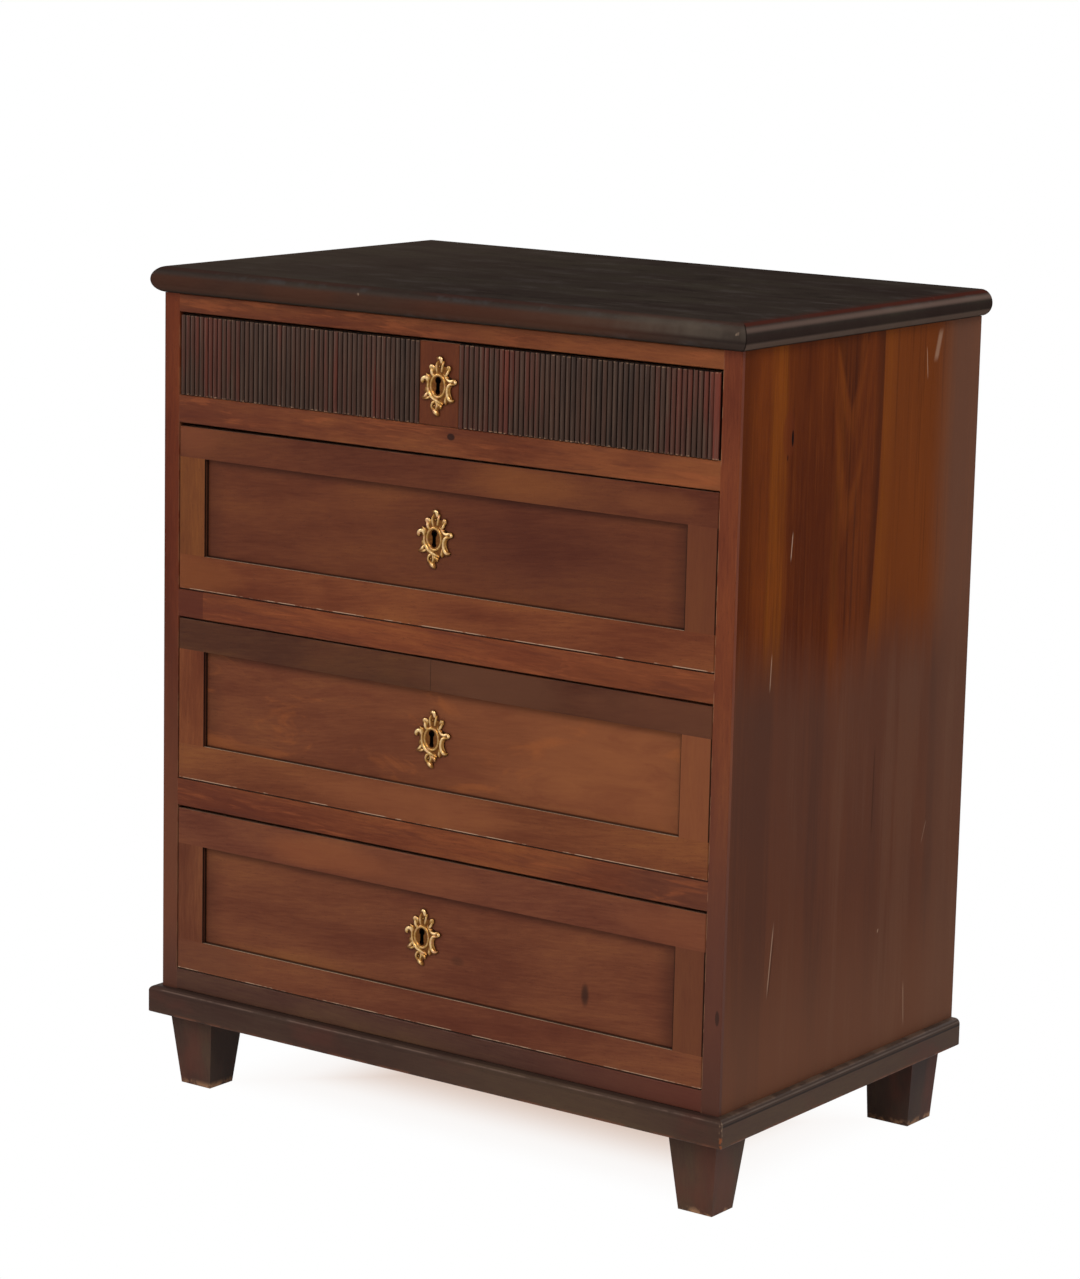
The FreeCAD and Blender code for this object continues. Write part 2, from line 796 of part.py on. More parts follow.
def lock_envelope(drawer):
    """Outside of the lock, filled in: case, back plate and the plate along the drawer's top edge."""
    half = lock_case_width / 2
    plate_half = half + lock_plate_margin
    x = drawer.key_x
    case = board(x - half, x + half, lock_front_y(), core_back_y, drawer.lock_low, drawer.lock_top)
    back_plate = board(
        x - plate_half,
        x + plate_half,
        core_back_y - lock_metal,
        core_back_y,
        drawer.lock_low - lock_plate_margin,
        drawer.lock_top,
    )
    edge_plate = board(
        x - plate_half,
        x + plate_half,
        lock_front_y(),
        core_back_y,
        drawer.lock_top - lock_metal,
        drawer.lock_top,
    )
    return case.fuse(back_plate).fuse(edge_plate).removeSplitter()


def lock_rebate(drawer):
    """Open space over the lock's edge plate, where the front's upper edge is higher than the plate."""
    half = lock_case_width / 2 + lock_plate_margin
    x = drawer.key_x
    return board(x - half, x + half, lock_front_y(), core_back_y, drawer.lock_top, drawer.lock_top + overrun)


def make_lock_case(drawer):
    """Hollow lock case with its plates, a slot for the bolt's head and a keyhole in its front."""
    half = lock_case_width / 2 - lock_metal
    x = drawer.key_x
    hollow = board(
        x - half,
        x + half,
        lock_front_y() + lock_metal,
        core_back_y - lock_metal,
        drawer.lock_low + lock_metal,
        drawer.lock_top - lock_metal,
    )
    slot_half = bolt_head_width / 2 + bolt_clearance
    slot_depth = bolt_thickness / 2 + bolt_clearance
    slot = board(
        x - slot_half,
        x + slot_half,
        bolt_y() - slot_depth,
        bolt_y() + slot_depth,
        drawer.lock_top - lock_metal - overrun,
        drawer.lock_top + overrun,
    )
    return cut_all(lock_envelope(drawer), [hollow, slot, keyhole(drawer)])


def make_bolt(drawer):
    """Bolt with its head in the edge plate, a stem, and a foot notched for the key."""
    x = drawer.key_x
    y_low = bolt_y() - bolt_thickness / 2
    y_high = bolt_y() + bolt_thickness / 2
    head_low = drawer.lock_top - bolt_head_height
    foot_low = drawer.key_z - bolt_foot_height / 2
    foot_high = drawer.key_z + bolt_foot_height / 2
    head = board(x - bolt_head_width / 2, x + bolt_head_width / 2, y_low, y_high, head_low, drawer.lock_top)
    stem = board(x - bolt_stem_width / 2, x + bolt_stem_width / 2, y_low, y_high, foot_high, head_low)
    foot = board(x - bolt_foot_width / 2, x + bolt_foot_width / 2, y_low, y_high, foot_low, foot_high)
    notch = Part.makeCylinder(bolt_notch_radius, bolt_thickness, Vector(x, y_low, foot_low), Vector(0, 1, 0))
    return head.fuse(stem).fuse(foot).removeSplitter().cut(notch)


# The whole chest

def make_chest():
    """Every piece of the chest under its own name."""
    drawer_1 = Drawer(1, floor_1, ceiling_1, top_gap_1_left, top_gap_1_right, escutcheon_1_offset, escutcheon_1_rise)
    drawer_2 = Drawer(2, floor_2, ceiling_2, top_gap_2_left, top_gap_2_right, escutcheon_2_offset, escutcheon_2_rise)
    drawer_3 = Drawer(3, floor_3, ceiling_3, top_gap_3_left, top_gap_3_right, escutcheon_3_offset, escutcheon_3_rise)
    drawer_4 = Drawer(4, floor_4, ceiling_4, top_gap_4_left, top_gap_4_right, escutcheon_4_offset, escutcheon_4_rise)
    drawers = [drawer_1, drawer_2, drawer_3, drawer_4]
    pieces = {}

    # Case
    pieces["rail_top"] = make_rail(ceiling_1, case_top, drawer_1)
    pieces["rail_1"] = make_rail(ceiling_2, floor_1, drawer_2)
    pieces["rail_2"] = make_rail(ceiling_3, floor_2, drawer_3)
    pieces["rail_3"] = make_rail(ceiling_4, floor_3, drawer_4)
    pieces["rail_bottom"] = make_rail(case_bottom, floor_4, None)
    rails = list(pieces.values())
    bottom_board = make_bottom_board()
    side = make_side(rails, bottom_board)
    pieces["top_board"] = make_top()
    pieces["side_left"] = mirrored(side)
    pieces["side_right"] = side
    strip = make_edge_strip()
    pieces["edge_strip_left"] = mirrored(strip)
    pieces["edge_strip_right"] = strip
    pieces["bottom_board"] = bottom_board
    pieces["back_boards"] = make_back_boards()
    runners = make_runner_pair(ceiling_2, floor_1)
    runners = runners + make_runner_pair(ceiling_3, floor_2)
    runners = runners + make_runner_pair(ceiling_4, floor_3)
    runners = runners + make_runner_pair(case_bottom + bottom_board_thickness, floor_4)
    pieces["drawer_runners"] = Part.makeCompound(runners)
    pieces["drawer_kickers"] = Part.makeCompound(make_runner_pair(ceiling_1, case_top))
    stops = []
    for drawer in drawers:
        stops = stops + make_stops(drawer.floor)
    pieces["drawer_stops"] = Part.makeCompound(stops)

    # Plinth and feet
    front_tenon = make_foot_tenon(False)
    rear_tenon = make_foot_tenon(True)
    plinth_back = make_plinth_back()
    plinth_side = make_plinth_side([front_tenon, rear_tenon], plinth_back)
    pieces["plinth_front"] = make_plinth_front([front_tenon, mirrored(front_tenon)])
    pieces["plinth_left"] = mirrored(plinth_side)
    pieces["plinth_right"] = plinth_side
    pieces["plinth_back"] = plinth_back
    for name, is_rear in (("front", False), ("rear", True)):
        foot = make_foot(is_rear)
        pieces["foot_" + name + "_left"] = mirrored(foot)
        pieces["foot_" + name + "_right"] = foot

    # Drawers
    for drawer in drawers:
        prefix = "drawer_" + str(drawer.number) + "_"
        drawer_bottom = make_drawer_bottom(drawer)
        drawer_back = make_drawer_back(drawer)
        drawer_side = make_drawer_side(drawer, drawer_back, drawer_bottom)
        pieces[prefix + "front"] = make_drawer_front(drawer, drawer_bottom)
        pieces[prefix + "sides"] = Part.makeCompound([mirrored(drawer_side), drawer_side])
        pieces[prefix + "back"] = drawer_back
        pieces[prefix + "bottom"] = drawer_bottom
        pieces[prefix + "escutcheon"] = Part.makeCompound([make_escutcheon(drawer)] + make_pins(drawer))
        pieces[prefix + "lock_case"] = make_lock_case(drawer)
        pieces[prefix + "lock_bolt"] = make_bolt(drawer)

    # Raised frames
    frame_widths = (
        (drawer_2, frame_2_top_width, frame_2_bottom_width),
        (drawer_3, frame_3_top_width, frame_3_bottom_width),
        (drawer_4, frame_4_top_width, frame_4_bottom_width),
    )
    for drawer, top_width, bottom_width in frame_widths:
        prefix = "drawer_" + str(drawer.number) + "_"
        pieces[prefix + "frame_rails"] = make_frame_rails(drawer, top_width, bottom_width)
        pieces[prefix + "frame_ends"] = make_frame_ends(drawer, top_width, bottom_width)

    # Reeded front
    block_left = centre_block_offset - centre_block_width / 2
    block_right = centre_block_offset + centre_block_width / 2
    facing_half = drawer_half - facing_end_gap
    pieces["drawer_1_reeding_left"] = make_reeding(drawer_1, -facing_half, block_left, 0)
    pieces["drawer_1_reeding_right"] = make_reeding(drawer_1, block_right, facing_half, end_reed_width)
    pieces["drawer_1_centre_block"] = make_centre_block(drawer_1)
    return pieces


os.makedirs("parts", exist_ok=True)
for name, shape in make_chest().items():
    shape.exportStep("parts/" + name + ".step")
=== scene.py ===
import math
import random

import bpy
from mathutils import Matrix, Vector


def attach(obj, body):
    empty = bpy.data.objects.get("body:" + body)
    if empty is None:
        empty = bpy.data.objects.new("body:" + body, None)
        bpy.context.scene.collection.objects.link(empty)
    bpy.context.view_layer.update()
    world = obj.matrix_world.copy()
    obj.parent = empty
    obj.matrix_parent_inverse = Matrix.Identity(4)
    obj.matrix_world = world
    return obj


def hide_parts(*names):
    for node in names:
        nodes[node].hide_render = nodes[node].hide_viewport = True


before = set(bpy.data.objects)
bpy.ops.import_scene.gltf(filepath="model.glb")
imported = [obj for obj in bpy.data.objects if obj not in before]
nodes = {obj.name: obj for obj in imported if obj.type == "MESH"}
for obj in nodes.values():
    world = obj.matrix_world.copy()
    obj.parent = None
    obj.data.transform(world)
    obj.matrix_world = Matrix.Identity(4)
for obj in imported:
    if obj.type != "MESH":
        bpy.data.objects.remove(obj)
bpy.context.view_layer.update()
random.seed(1790)

MM = 0.001

# Shader maths


def tint(red, green, blue):
    """A colour in 0 to 255 steps of sRGB, as the shader's own numbers."""
    shares = [step / 255 for step in (red, green, blue)]
    linear = [share / 12.92 if share < 0.04045 else ((share + 0.055) / 1.055) ** 2.4 for share in shares]
    return (*linear, 1)


class Wire:
    """One shader socket that can be used in arithmetic."""

    def __init__(self, shader, socket):
        self.shader = shader
        self.socket = socket

    def __add__(self, other):
        return self.shader.maths("ADD", self, other)

    def __sub__(self, other):
        return self.shader.maths("SUBTRACT", self, other)

    def __rsub__(self, other):
        return self.shader.maths("SUBTRACT", other, self)

    def __mul__(self, other):
        return self.shader.maths("MULTIPLY", self, other)

    def __neg__(self):
        return self * -1

    def __abs__(self):
        return self.shader.maths("ABSOLUTE", self)

    __radd__ = __add__
    __rmul__ = __mul__


class Shader:
    """Nodes of a material or a world, with the colour and roughness so far."""

    def __init__(self, owner):
        owner.use_nodes = True
        self.owner = owner
        self.tree = owner.node_tree
        self.tree.nodes.clear()
        self.colour = None
        self.rough = 0.5

    def node(self, kind, settings=None, sockets=None, output=0):
        """Adds a node: its settings first, then the value or link of each socket."""
        made = self.tree.nodes.new(kind)
        for key, value in (settings or {}).items():
            if key == "stops":
                ramp = made.color_ramp
                while len(ramp.elements) < len(value):
                    ramp.elements.new(0.5)
                for element, (position, colour) in zip(ramp.elements, value):
                    element.position = position
                    element.color = colour
            else:
                setattr(made, key, value)
        for key, value in (sockets or {}).items():
            if isinstance(value, Wire):
                self.tree.links.new(value.socket, made.inputs[key])
            else:
                made.inputs[key].default_value = value
        return Wire(self, made.outputs[output]) if made.outputs else None

    def maths(self, operation, first, second=0.0):
        return self.node("ShaderNodeMath", {"operation": operation}, {0: first, 1: second})

    def least(self, first, second):
        return self.maths("MINIMUM", first, second)

    def most(self, first, second):
        return self.maths("MAXIMUM", first, second)

    def step(self, value, low, high):
        """0 below low and 1 above high, eased between them."""
        sockets = {"Value": value, "From Min": low, "From Max": high}
        return self.node("ShaderNodeMapRange", {"interpolation_type": "SMOOTHSTEP"}, sockets)

    def fall(self, value, low, high):
        """1 below low and 0 above high, eased between them."""
        return 1 - self.step(value, low, high)

    def band(self, value, low, high, soft):
        """1 between low and high, with soft edges outside them."""
        return self.step(value, low - soft, low) * self.fall(value, high, high + soft)

    def stroke(self, across, along, start, end, width):
        """A scratch from one place to another, tapered at both ends."""
        run = (along - start[1]) * (1 / (end[1] - start[1]))
        aside = abs(across - start[0] - run * (end[0] - start[0]))
        ends = self.step(run, 0.0, 0.25) * self.fall(run, 0.75, 1.0)
        return self.fall(aside, width * 0.2, width * 0.6) * ends

    def oval(self, across, up, middle, half_across, half_up):
        """0 in the middle of an oval and 1 on its rim."""
        beside = (across - middle[0]) * (1 / half_across)
        above = (up - middle[1]) * (1 / half_up)
        return beside * beside + above * above

    def spot(self, *oval):
        """An oval mark with a soft rim."""
        return self.fall(self.oval(*oval), 0.5, 1.2)

    def haze(self, *oval):
        """An oval patch that fades from its middle outwards."""
        return self.fall(self.oval(*oval), 0.0, 1.8)

    def place(self):
        return self.node("ShaderNodeTexCoord", output="Object")

    def facing(self):
        """The three parts of the direction that a face looks in."""
        return self.apart(self.node("ShaderNodeTexCoord", output="Normal"))

    def upward(self, low=0.8, high=0.95):
        """1 on faces that look up."""
        return self.step(self.facing()[2], low, high)

    def corner(self):
        """1 on narrow bevels and rounded corners, 0 on flat faces."""
        x, y, z = (abs(part) for part in self.facing())
        return self.step(1 - self.most(x, self.most(y, z)), 0.08, 0.22)

    def apart(self, vector):
        """The three numbers of a vector."""
        split = self.node("ShaderNodeSeparateXYZ", sockets={"Vector": vector}).socket.node
        return [Wire(self, output) for output in split.outputs]

    def moved(self, vector, offset=(0, 0, 0), scale=(1, 1, 1), turn=(0, 0, 0)):
        sockets = {"Vector": vector, "Location": offset, "Rotation": turn, "Scale": scale}
        return self.node("ShaderNodeMapping", sockets=sockets)

    def vectors(self, operation, first, second):
        return self.node("ShaderNodeVectorMath", {"operation": operation}, {0: first, 1: second})

    def swayed(self, vector, sway, reach):
        """The vector moved to and fro by another one centred on a half."""
        centred = self.vectors("SUBTRACT", sway, (0.5, 0.5, 0.5))
        return self.vectors("ADD", vector, self.vectors("MULTIPLY", centred, (reach, reach, reach)))

    def noise(self, vector, scale, detail=3.0, rough=0.5, bend=0.0, output="Fac"):
        sockets = {"Vector": vector, "Scale": scale, "Detail": detail, "Roughness": rough, "Distortion": bend}
        return self.node("ShaderNodeTexNoise", sockets=sockets, output=output)

    def wave(self, place, offset, scale, *noise, turn=(0, 0, 0)):
        """Noise centred on nought, with its own offset and a scale for each axis."""
        return self.noise(self.moved(place, offset, scale, turn), *noise) - 0.5

    def blend(self, first, second, factor, how="MIX"):
        settings = {"data_type": "RGBA", "blend_type": how}
        made = self.node("ShaderNodeMix", settings, {0: factor, 6: first, 7: second})
        return Wire(self, made.socket.node.outputs[2])

    def ground(self, value, stops, colour=(1, 1, 1)):
        """Lays the first colour, from stops with a place on a scale and shares of a colour."""
        shades = [(place, tint(*(a * b for a, b in zip(colour, shares)))) for place, shares in stops]
        self.colour = self.node("ShaderNodeValToRGB", {"stops": shades}, {"Fac": value}, output="Color")

    def paint(self, colour, share):
        """Lays a colour over the one so far."""
        self.colour = self.blend(self.colour, tint(*colour), share)

    def finish(self, height, depth, strength=0.7, shine=0.5, metal=0.0):
        """Joins colour, roughness and a bump to the surface."""
        bump = {"Height": height, "Distance": depth, "Strength": strength}
        sockets = {
            "Base Color": self.colour,
            "Roughness": self.rough,
            "Metallic": metal,
            "Specular IOR Level": shine,
            "Normal": self.node("ShaderNodeBump", None, bump),
        }
        surface = self.node("ShaderNodeBsdfPrincipled", sockets=sockets)
        self.node("ShaderNodeOutputMaterial", sockets={"Surface": surface})
        return self.owner


def material(name):
    return Shader(bpy.data.materials.new(name))


# Woods, brass and iron

DUST = (172, 148, 124)
# Places on a wood's scale of tones, with shares of its colour
WOOD_STOPS = (
    (0.0, (0.7, 0.56, 0.6)),
    (0.35, (0.89, 0.84, 0.86)),
    (0.52, (1, 1, 1)),
    (0.75, (1.12, 1.18, 1.1)),
    (1.0, (1.26, 1.42, 1.22)),
)
PINE_STOPS = ((0.0, (1.12, 1.12, 1.08)), (0.5, (1, 1, 1)), (1.0, (0.7, 0.6, 0.5)))
# Places on the metals' scales, with their colours
BRASS_STOPS = (
    (0.12, (40, 24, 14)),
    (0.36, (98, 58, 27)),
    (0.55, (130, 86, 40)),
    (0.76, (160, 120, 66)),
    (0.97, (214, 180, 130)),
)
IRON_STOPS = ((0.35, (112, 106, 98)), (0.55, (92, 84, 74)), (0.72, (86, 58, 38)))


def scaled(colour, *shares):
    return tuple(channel * share for channel, share in zip(colour, shares))


def drawn_out(along, lengthwise, crosswise):
    """Scales for a pattern that is drawn out along one axis."""
    return tuple(lengthwise if axis == along else crosswise for axis in "xyz")


def own_offset(seed, *steps):
    """A place in the noise that no other piece has."""
    return tuple(seed * step % 5 for step in steps)


def wood(name, seed, along, colour, slope, marks, sizes, contrast, rough, worn, shine, dust):
    """Old polished wood: clouds drawn out along the grain, fine lines, pores, worn corners and dust."""
    s = material(name)
    place = s.place()
    offset = own_offset(seed, 1.37, 2.11, 0.73)
    shifted = s.moved(place, offset)
    sloped = s.moved(place, turn=(0, slope, 0)) if slope else place
    wavy = s.swayed(sloped, s.noise(shifted, 2.6, 2, output="Color"), 0.03)
    lengthwise = s.moved(wavy, offset, drawn_out(along, 1, 11))
    figure = s.noise(s.moved(wavy, offset, drawn_out(along, 1, 3.2)), 3.4, 3, 0.5, 0.4)
    streak = s.noise(lengthwise, 4.5, 5, 0.6, 0.3)
    fine = s.noise(lengthwise, 42, 3, 0.6)
    cloud = s.noise(shifted, 7, 4, 0.55, 0.6)
    pores = s.step(s.noise(lengthwise, 170, 2, 0.7), 0.6, 0.72)
    tone = 0.5
    for pattern, share in ((figure, 1.5), (streak, 0.7), (fine, 0.6), (cloud, 0.6)):
        tone = tone + (pattern - 0.5) * (share * contrast)
    s.ground(tone, WOOD_STOPS, colour)
    s.paint(scaled(colour, 0.45, 0.38, 0.45), pores * 0.45)
    rubbed = s.step(s.noise(shifted, 26, 4, 0.65), 0.62 - 0.25 * worn, 0.78 - 0.25 * worn)
    s.paint(scaled(colour, 1.35, 1.6, 1.8), s.corner() * rubbed * (0.75 * worn))
    if dust > 0:
        s.paint(DUST, s.upward() * (s.step(cloud, 0.3, 0.55) * 0.4 + 0.6) * dust)
    s.rough = rough + (cloud - 0.5) * 0.22 + (fine - 0.5) * 0.1 + pores * 0.1
    marks(s, place, *s.apart(place), *sizes)
    return s.finish(fine * 0.7 + streak * 0.5 - pores * 0.8, 0.08 * MM, shine=shine)


def bare_pine(name, seed, along, colour=(158, 120, 82), board_width=0):
    """Unpolished, dusty softwood: growth lines, a few knots, and a tone for each board."""
    s = material(name)
    place = s.place()
    offset = own_offset(seed, 1.9, 1.3, 0.7)
    shifted = s.moved(place, offset)
    wavy = s.swayed(place, s.noise(shifted, 1.6, 2, output="Color"), 0.05)
    growth = s.noise(s.moved(wavy, offset, drawn_out(along, 0.5, 9)), 3.2, 2, 0.45)
    lines = s.maths("PINGPONG", growth * 16, 1)
    fine = s.noise(s.moved(wavy, offset, drawn_out(along, 1, 11)), 60, 3, 0.6)
    dust = s.noise(shifted, 5, 4, 0.6, 0.5)
    knot_grid = s.moved(wavy, offset, drawn_out(along, 0.8, 1.7))
    knot = s.node("ShaderNodeTexVoronoi", sockets={"Vector": knot_grid, "Scale": 3.4})
    tone = lines * 0.42 + (fine - 0.5) * 0.35 + dust * 0.35 + s.fall(knot, 0.05, 0.2) * 0.2
    if board_width:
        boards = s.apart(place)[0] * (1 / board_width)
        tone = tone + s.maths("FRACT", s.maths("FLOOR", boards) * 0.618 + seed * 0.37) * 0.34 - 0.12
    s.ground(tone, PINE_STOPS, colour)
    s.paint((70, 42, 25), s.fall(knot, 0.035, 0.075) * 0.8)
    s.paint((104, 80, 58), s.step(dust, 0.56, 0.8) * 0.35)
    if board_width:
        s.paint((40, 28, 20), s.step(abs(s.maths("FRACT", boards) - 0.5), 0.492, 0.496) * 0.85)
    s.rough = 0.72 + (dust - 0.5) * 0.2
    return s.finish(lines * 0.3 + fine, 0.2 * MM, shine=0.25)


def gilt_brass(name, seat_y):
    """Fire-gilt casting: pale gold crests, partly a painted highlight, pinkish painted highlights on them,
    orange flats, and brown dirt in the hollows.
    """
    s = material(name)
    place = s.place()
    height = (seat_y - s.apart(place)[1]) * (1 / CASTING_HEIGHT)
    blotch = s.noise(place, 420, 4, 0.6)
    chased = s.noise(s.moved(place, scale=(1, 1, 1.6)), 1500, 2, 0.5)
    # Darker in the hollows and paler towards the crests: partly the gilt's own wear and dirt, partly a
    # painted highlight
    s.ground(height + (blotch - 0.5) * 0.4 + (chased - 0.5) * 0.16, BRASS_STOPS)
    # Painted pinkish highlights on the higher parts
    pink = s.step(s.noise(place, 230), 0.52, 0.7) * s.step(height, 0.5, 0.8)
    s.paint((214, 150, 124), pink * 0.45)
    s.rough = 0.44 - height * 0.16 + (blotch - 0.5) * 0.25
    return s.finish(blotch + chased * 0.6, 0.1 * MM, metal=1)


def filed_iron():
    """Grey iron with fine upright file marks and brown rust."""
    s = material("filed_iron")
    place = s.place()
    rust = s.noise(place, 90, 5, 0.65)
    scratch = s.noise(s.moved(place, scale=(1, 1, 14)), 300, 2)
    s.ground(rust, IRON_STOPS)
    s.rough = 0.45 + (scratch - 0.5) * 0.3
    return s.finish(scratch, 0.05 * MM, 1, metal=1 - s.step(rust, 0.55, 0.7) * 0.8)


def dress(thing, finish):
    """Puts a material into a thing's slot."""
    thing.data.materials.clear()
    thing.data.materials.append(finish)


# Camera, floor and light

# The photograph's view: turn, dip and roll in radians, place in metres, lens in millimetres
VIEW_TURN = 0.6249
VIEW_DIP = 0.1909
VIEW_ROLL = 0.0222
CAMERA_PLACE = (2.2873, -3.2065, 1.2507)
FOCAL_LENGTH = 110.55
FLOOR_WIDTH = 24.0
# Half the chest's width and depth, for its painted shadow on the floor
SHADOW_HALF = (0.36, 0.225)
WORLD_LEVEL = 0.45
# Lamps: name, place, aim, diameter, power, colour
LAMPS = (
    ("key_lamp", (2.2, -2.4, 3.6), (0, 0, 0.4), 1.4, 105.0, (1.0, 0.97, 0.93)),
    ("fill_lamp", (-2.8, -3.0, 2.2), (0, 0, 0.5), 2.4, 50.0, (1.0, 0.98, 0.96)),
    ("back_lamp", (0.5, 3.4, 2.8), (0, 0, 0.5), 2.0, 45.0, (1.0, 1.0, 1.0)),
)


def placed(name, data):
    made = bpy.data.objects.new(name, data)
    bpy.context.scene.collection.objects.link(made)
    return made


def set_camera():
    data = bpy.data.cameras.new("camera")
    data.sensor_width = 36
    data.lens = FOCAL_LENGTH
    data.clip_start = 0.1
    data.clip_end = 60
    camera = placed("camera", data)
    turn = Matrix.Rotation(VIEW_TURN, 4, "Z") @ Matrix.Rotation(math.pi / 2 - VIEW_DIP, 4, "X")
    camera.matrix_world = Matrix.Translation(CAMERA_PLACE) @ turn @ Matrix.Rotation(VIEW_ROLL, 4, "Z")
    bpy.context.scene.camera = camera


def seen(s):
    """1 for what the camera, a reflection or clear glass shows, 0 for light on things."""
    path = s.node("ShaderNodeLightPath").socket.node
    kinds = ("Is Camera Ray", "Is Glossy Ray", "Is Transmission Ray")
    camera, glossy, clear = (Wire(s, path.outputs[kind]) for kind in kinds)
    return s.least(camera + glossy + clear, 1)


def set_floor():
    """White floor with a painted warm shadow near the chest's feet, over the real shadow of its diffuse part.
    """
    bpy.ops.mesh.primitive_plane_add(size=FLOOR_WIDTH, location=(0, 0, 0))
    floor = bpy.context.object
    floor.name = "floor"
    s = material("floor_white")
    x, y, _ = s.apart(s.place())
    beside = s.most(abs(x) - SHADOW_HALF[0], abs(y) - SHADOW_HALF[1])
    # Near the chest the floor's colour and its glow as seen turn warm and dimmer: a painted shadow
    near = s.fall(beside, -0.225, -0.1) * 0.8 + s.fall(beside, -0.13, -0.02) * 0.14
    shade = s.blend((0.96, 0.96, 0.96, 1), (0.95, 0.86, 0.79, 1), near)
    lit = s.node("ShaderNodeBsdfDiffuse", sockets={"Color": shade})
    glow_with_painted_shadow = s.blend((1, 1, 1, 1), (1, 0.8, 0.69, 1), near)
    plain = s.node("ShaderNodeEmission", sockets={"Color": glow_with_painted_shadow, "Strength": 1})
    mixed = s.node("ShaderNodeMixShader", sockets={0: seen(s) * (1 - near * 0.38), 1: lit, 2: plain})
    s.node("ShaderNodeOutputMaterial", sockets={"Surface": mixed})
    floor.data.materials.append(s.owner)


def set_world():
    """White all round, dimmer as light than as a background."""
    s = Shader(bpy.data.worlds.new("studio"))
    bpy.context.scene.world = s.owner
    strength = seen(s) * (1 - WORLD_LEVEL) + WORLD_LEVEL
    sky = s.node("ShaderNodeBackground", sockets={"Color": (1, 1, 1, 1), "Strength": strength})
    s.node("ShaderNodeOutputWorld", sockets={"Surface": sky})


def set_lamp(name, place, aim, diameter, power, colour):
    data = bpy.data.lights.new(name, "AREA")
    data.shape = "DISK"
    data.size = diameter
    data.energy = power
    data.color = colour
    lamp = placed(name, data)
    lamp.location = place
    lamp.rotation_euler = (Vector(aim) - Vector(place)).to_track_quat("-Z", "Y").to_euler()


# Marks of age, and painted light and shade, on the woods, in metres in the chest's frame: x across, y back, z
# up

# Scratches on the right-hand side: start and end (y, z), width, strength
SIDE_SCRATCHES = (
    ((-0.117, 0.657), (-0.1197, 0.626), 0.0016, 0.75),
    ((0.1172, 0.813), (0.1214, 0.777), 0.0012, 0.6),
    ((0.1452, 0.829), (0.1345, 0.793), 0.009, 0.36),
    ((-0.1468, 0.545), (-0.1488, 0.504), 0.0018, 0.45),
    ((-0.1275, 0.282), (-0.1368, 0.202), 0.002, 0.45),
    ((0.12, 0.17), (0.124, 0.117), 0.0012, 0.5),
    ((0.1535, 0.33), (0.1443, 0.305), 0.0011, 0.3),
    ((0.0672, 0.233), (0.0656, 0.2286), 0.0014, 0.7),
)
DARK_STREAKS = (
    ((0.0474, 0.43), (0.0462, 0.32), 0.003, 0.4),
    ((-0.1262, 0.27), (-0.1352, 0.2), 0.0034, 0.35),
    ((-0.006, 0.71), (-0.01, 0.52), 0.004, 0.4),
)
# Its knot: middle (y, z), half sizes, colour, share; the near-black second one is painted shade in the hole
KNOT_SPOTS = (
    ((-0.13, 0.748), 0.011, 0.024, (92, 40, 18), 0.5),
    ((-0.1233, 0.7448), 0.0019, 0.0082, (10, 6, 4), 1.0),
    ((-0.131, 0.727), 0.0011, 0.003, (26, 14, 9), 0.8),
)
# Heights between which the sides turn from the duller lower part, with its painted reflection of the floor,
# to clear
FLOOR_REFLECTION_HEIGHTS = (0.472, 0.575)
# The sides' pointed figure: how far it is in front of the middle, and its height
FIGURE_FORWARD = 0.0185
FIGURE_POINT = 0.757
# The golden board's edge: where it stands upright
GOLD_EDGE_BACK = 0.039
GOLD_EDGE_UP = 0.83
SIDE_FACE = (0.348, 0.3488)
STRIP_SEAM = (0.3288, 0.3295)
STRIP_DENT = (0.344, 0.2021)
RAIL_BURN = (0.0174, 0.7219)
LET_IN_END = (-0.2964, -0.2956)
# Heights that part the bottom rail from the others, and the two lowest rails from the upper three
BOTTOM_RAIL_TOP = (0.128, 0.132)
UPPER_RAILS = (0.4, 0.45)

# Middles of the keyholes
KEYHOLES = ((0.0022, 0.7701), (-0.0028, 0.6195), (-0.0018, 0.4204), (-0.0098, 0.2181))
# Half sizes of the painted shade in each keyhole
KEYHOLE_SHADE_SIZE = (0.0058, 0.0108)
# Where the frames' end strips begin and end
STRIP_FRONT = (-0.2131, -0.2124)
STRIP_BACK = (-0.2108, -0.2103)
STRIP_INNER_END = (0.2942, 0.2948)
STRIP_OUTER_END = (0.327, 0.3277)
# Joint in the upper strip of drawer 3's frame: its edges across, and its height
BUTT_JOINT_ACROSS = (-0.0026, -0.0021)
BUTT_JOINT_UP = (0.467, 0.501)
# Rise of the fronts' grain to the right
FRONT_SLOPE = 0.1
# Marks in the lowest panel: middle (x, z), half sizes, colour, share
PANEL_SPOTS = (
    ((0.1887, 0.1953), 0.0044, 0.0105, (44, 28, 22), 0.8),
    ((0.034, 0.2005), 0.0075, 0.0045, (44, 28, 22), 0.35),
)
# Patches of the frames' long strips
PATCHES_2 = (
    ((0.1, 0.686), 0.05, 0.013, (116, 67, 36), 0.5),
    ((-0.315, 0.69), 0.03, 0.016, (112, 62, 40), 0.5),
    ((0.262, 0.684), 0.03, 0.008, (112, 64, 38), 0.45),
    ((-0.31, 0.549), 0.05, 0.016, (122, 70, 38), 0.5),
)
PATCHES_3 = (
    ((0.3, 0.486), 0.09, 0.02, (98, 58, 40), 0.5),
    ((0.07, 0.487), 0.07, 0.022, (90, 56, 39), 0.7),
    ((-0.03, 0.351), 0.1, 0.016, (124, 72, 45), 0.55),
)
PATCHES_4 = (
    ((-0.13, 0.281), 0.06, 0.012, (128, 72, 43), 0.5),
    ((-0.04, 0.28), 0.08, 0.014, (118, 68, 43), 0.4),
    ((0.29, 0.28), 0.04, 0.014, (116, 66, 43), 0.5),
    ((-0.29, 0.145), 0.05, 0.016, (84, 50, 38), 0.4),
)


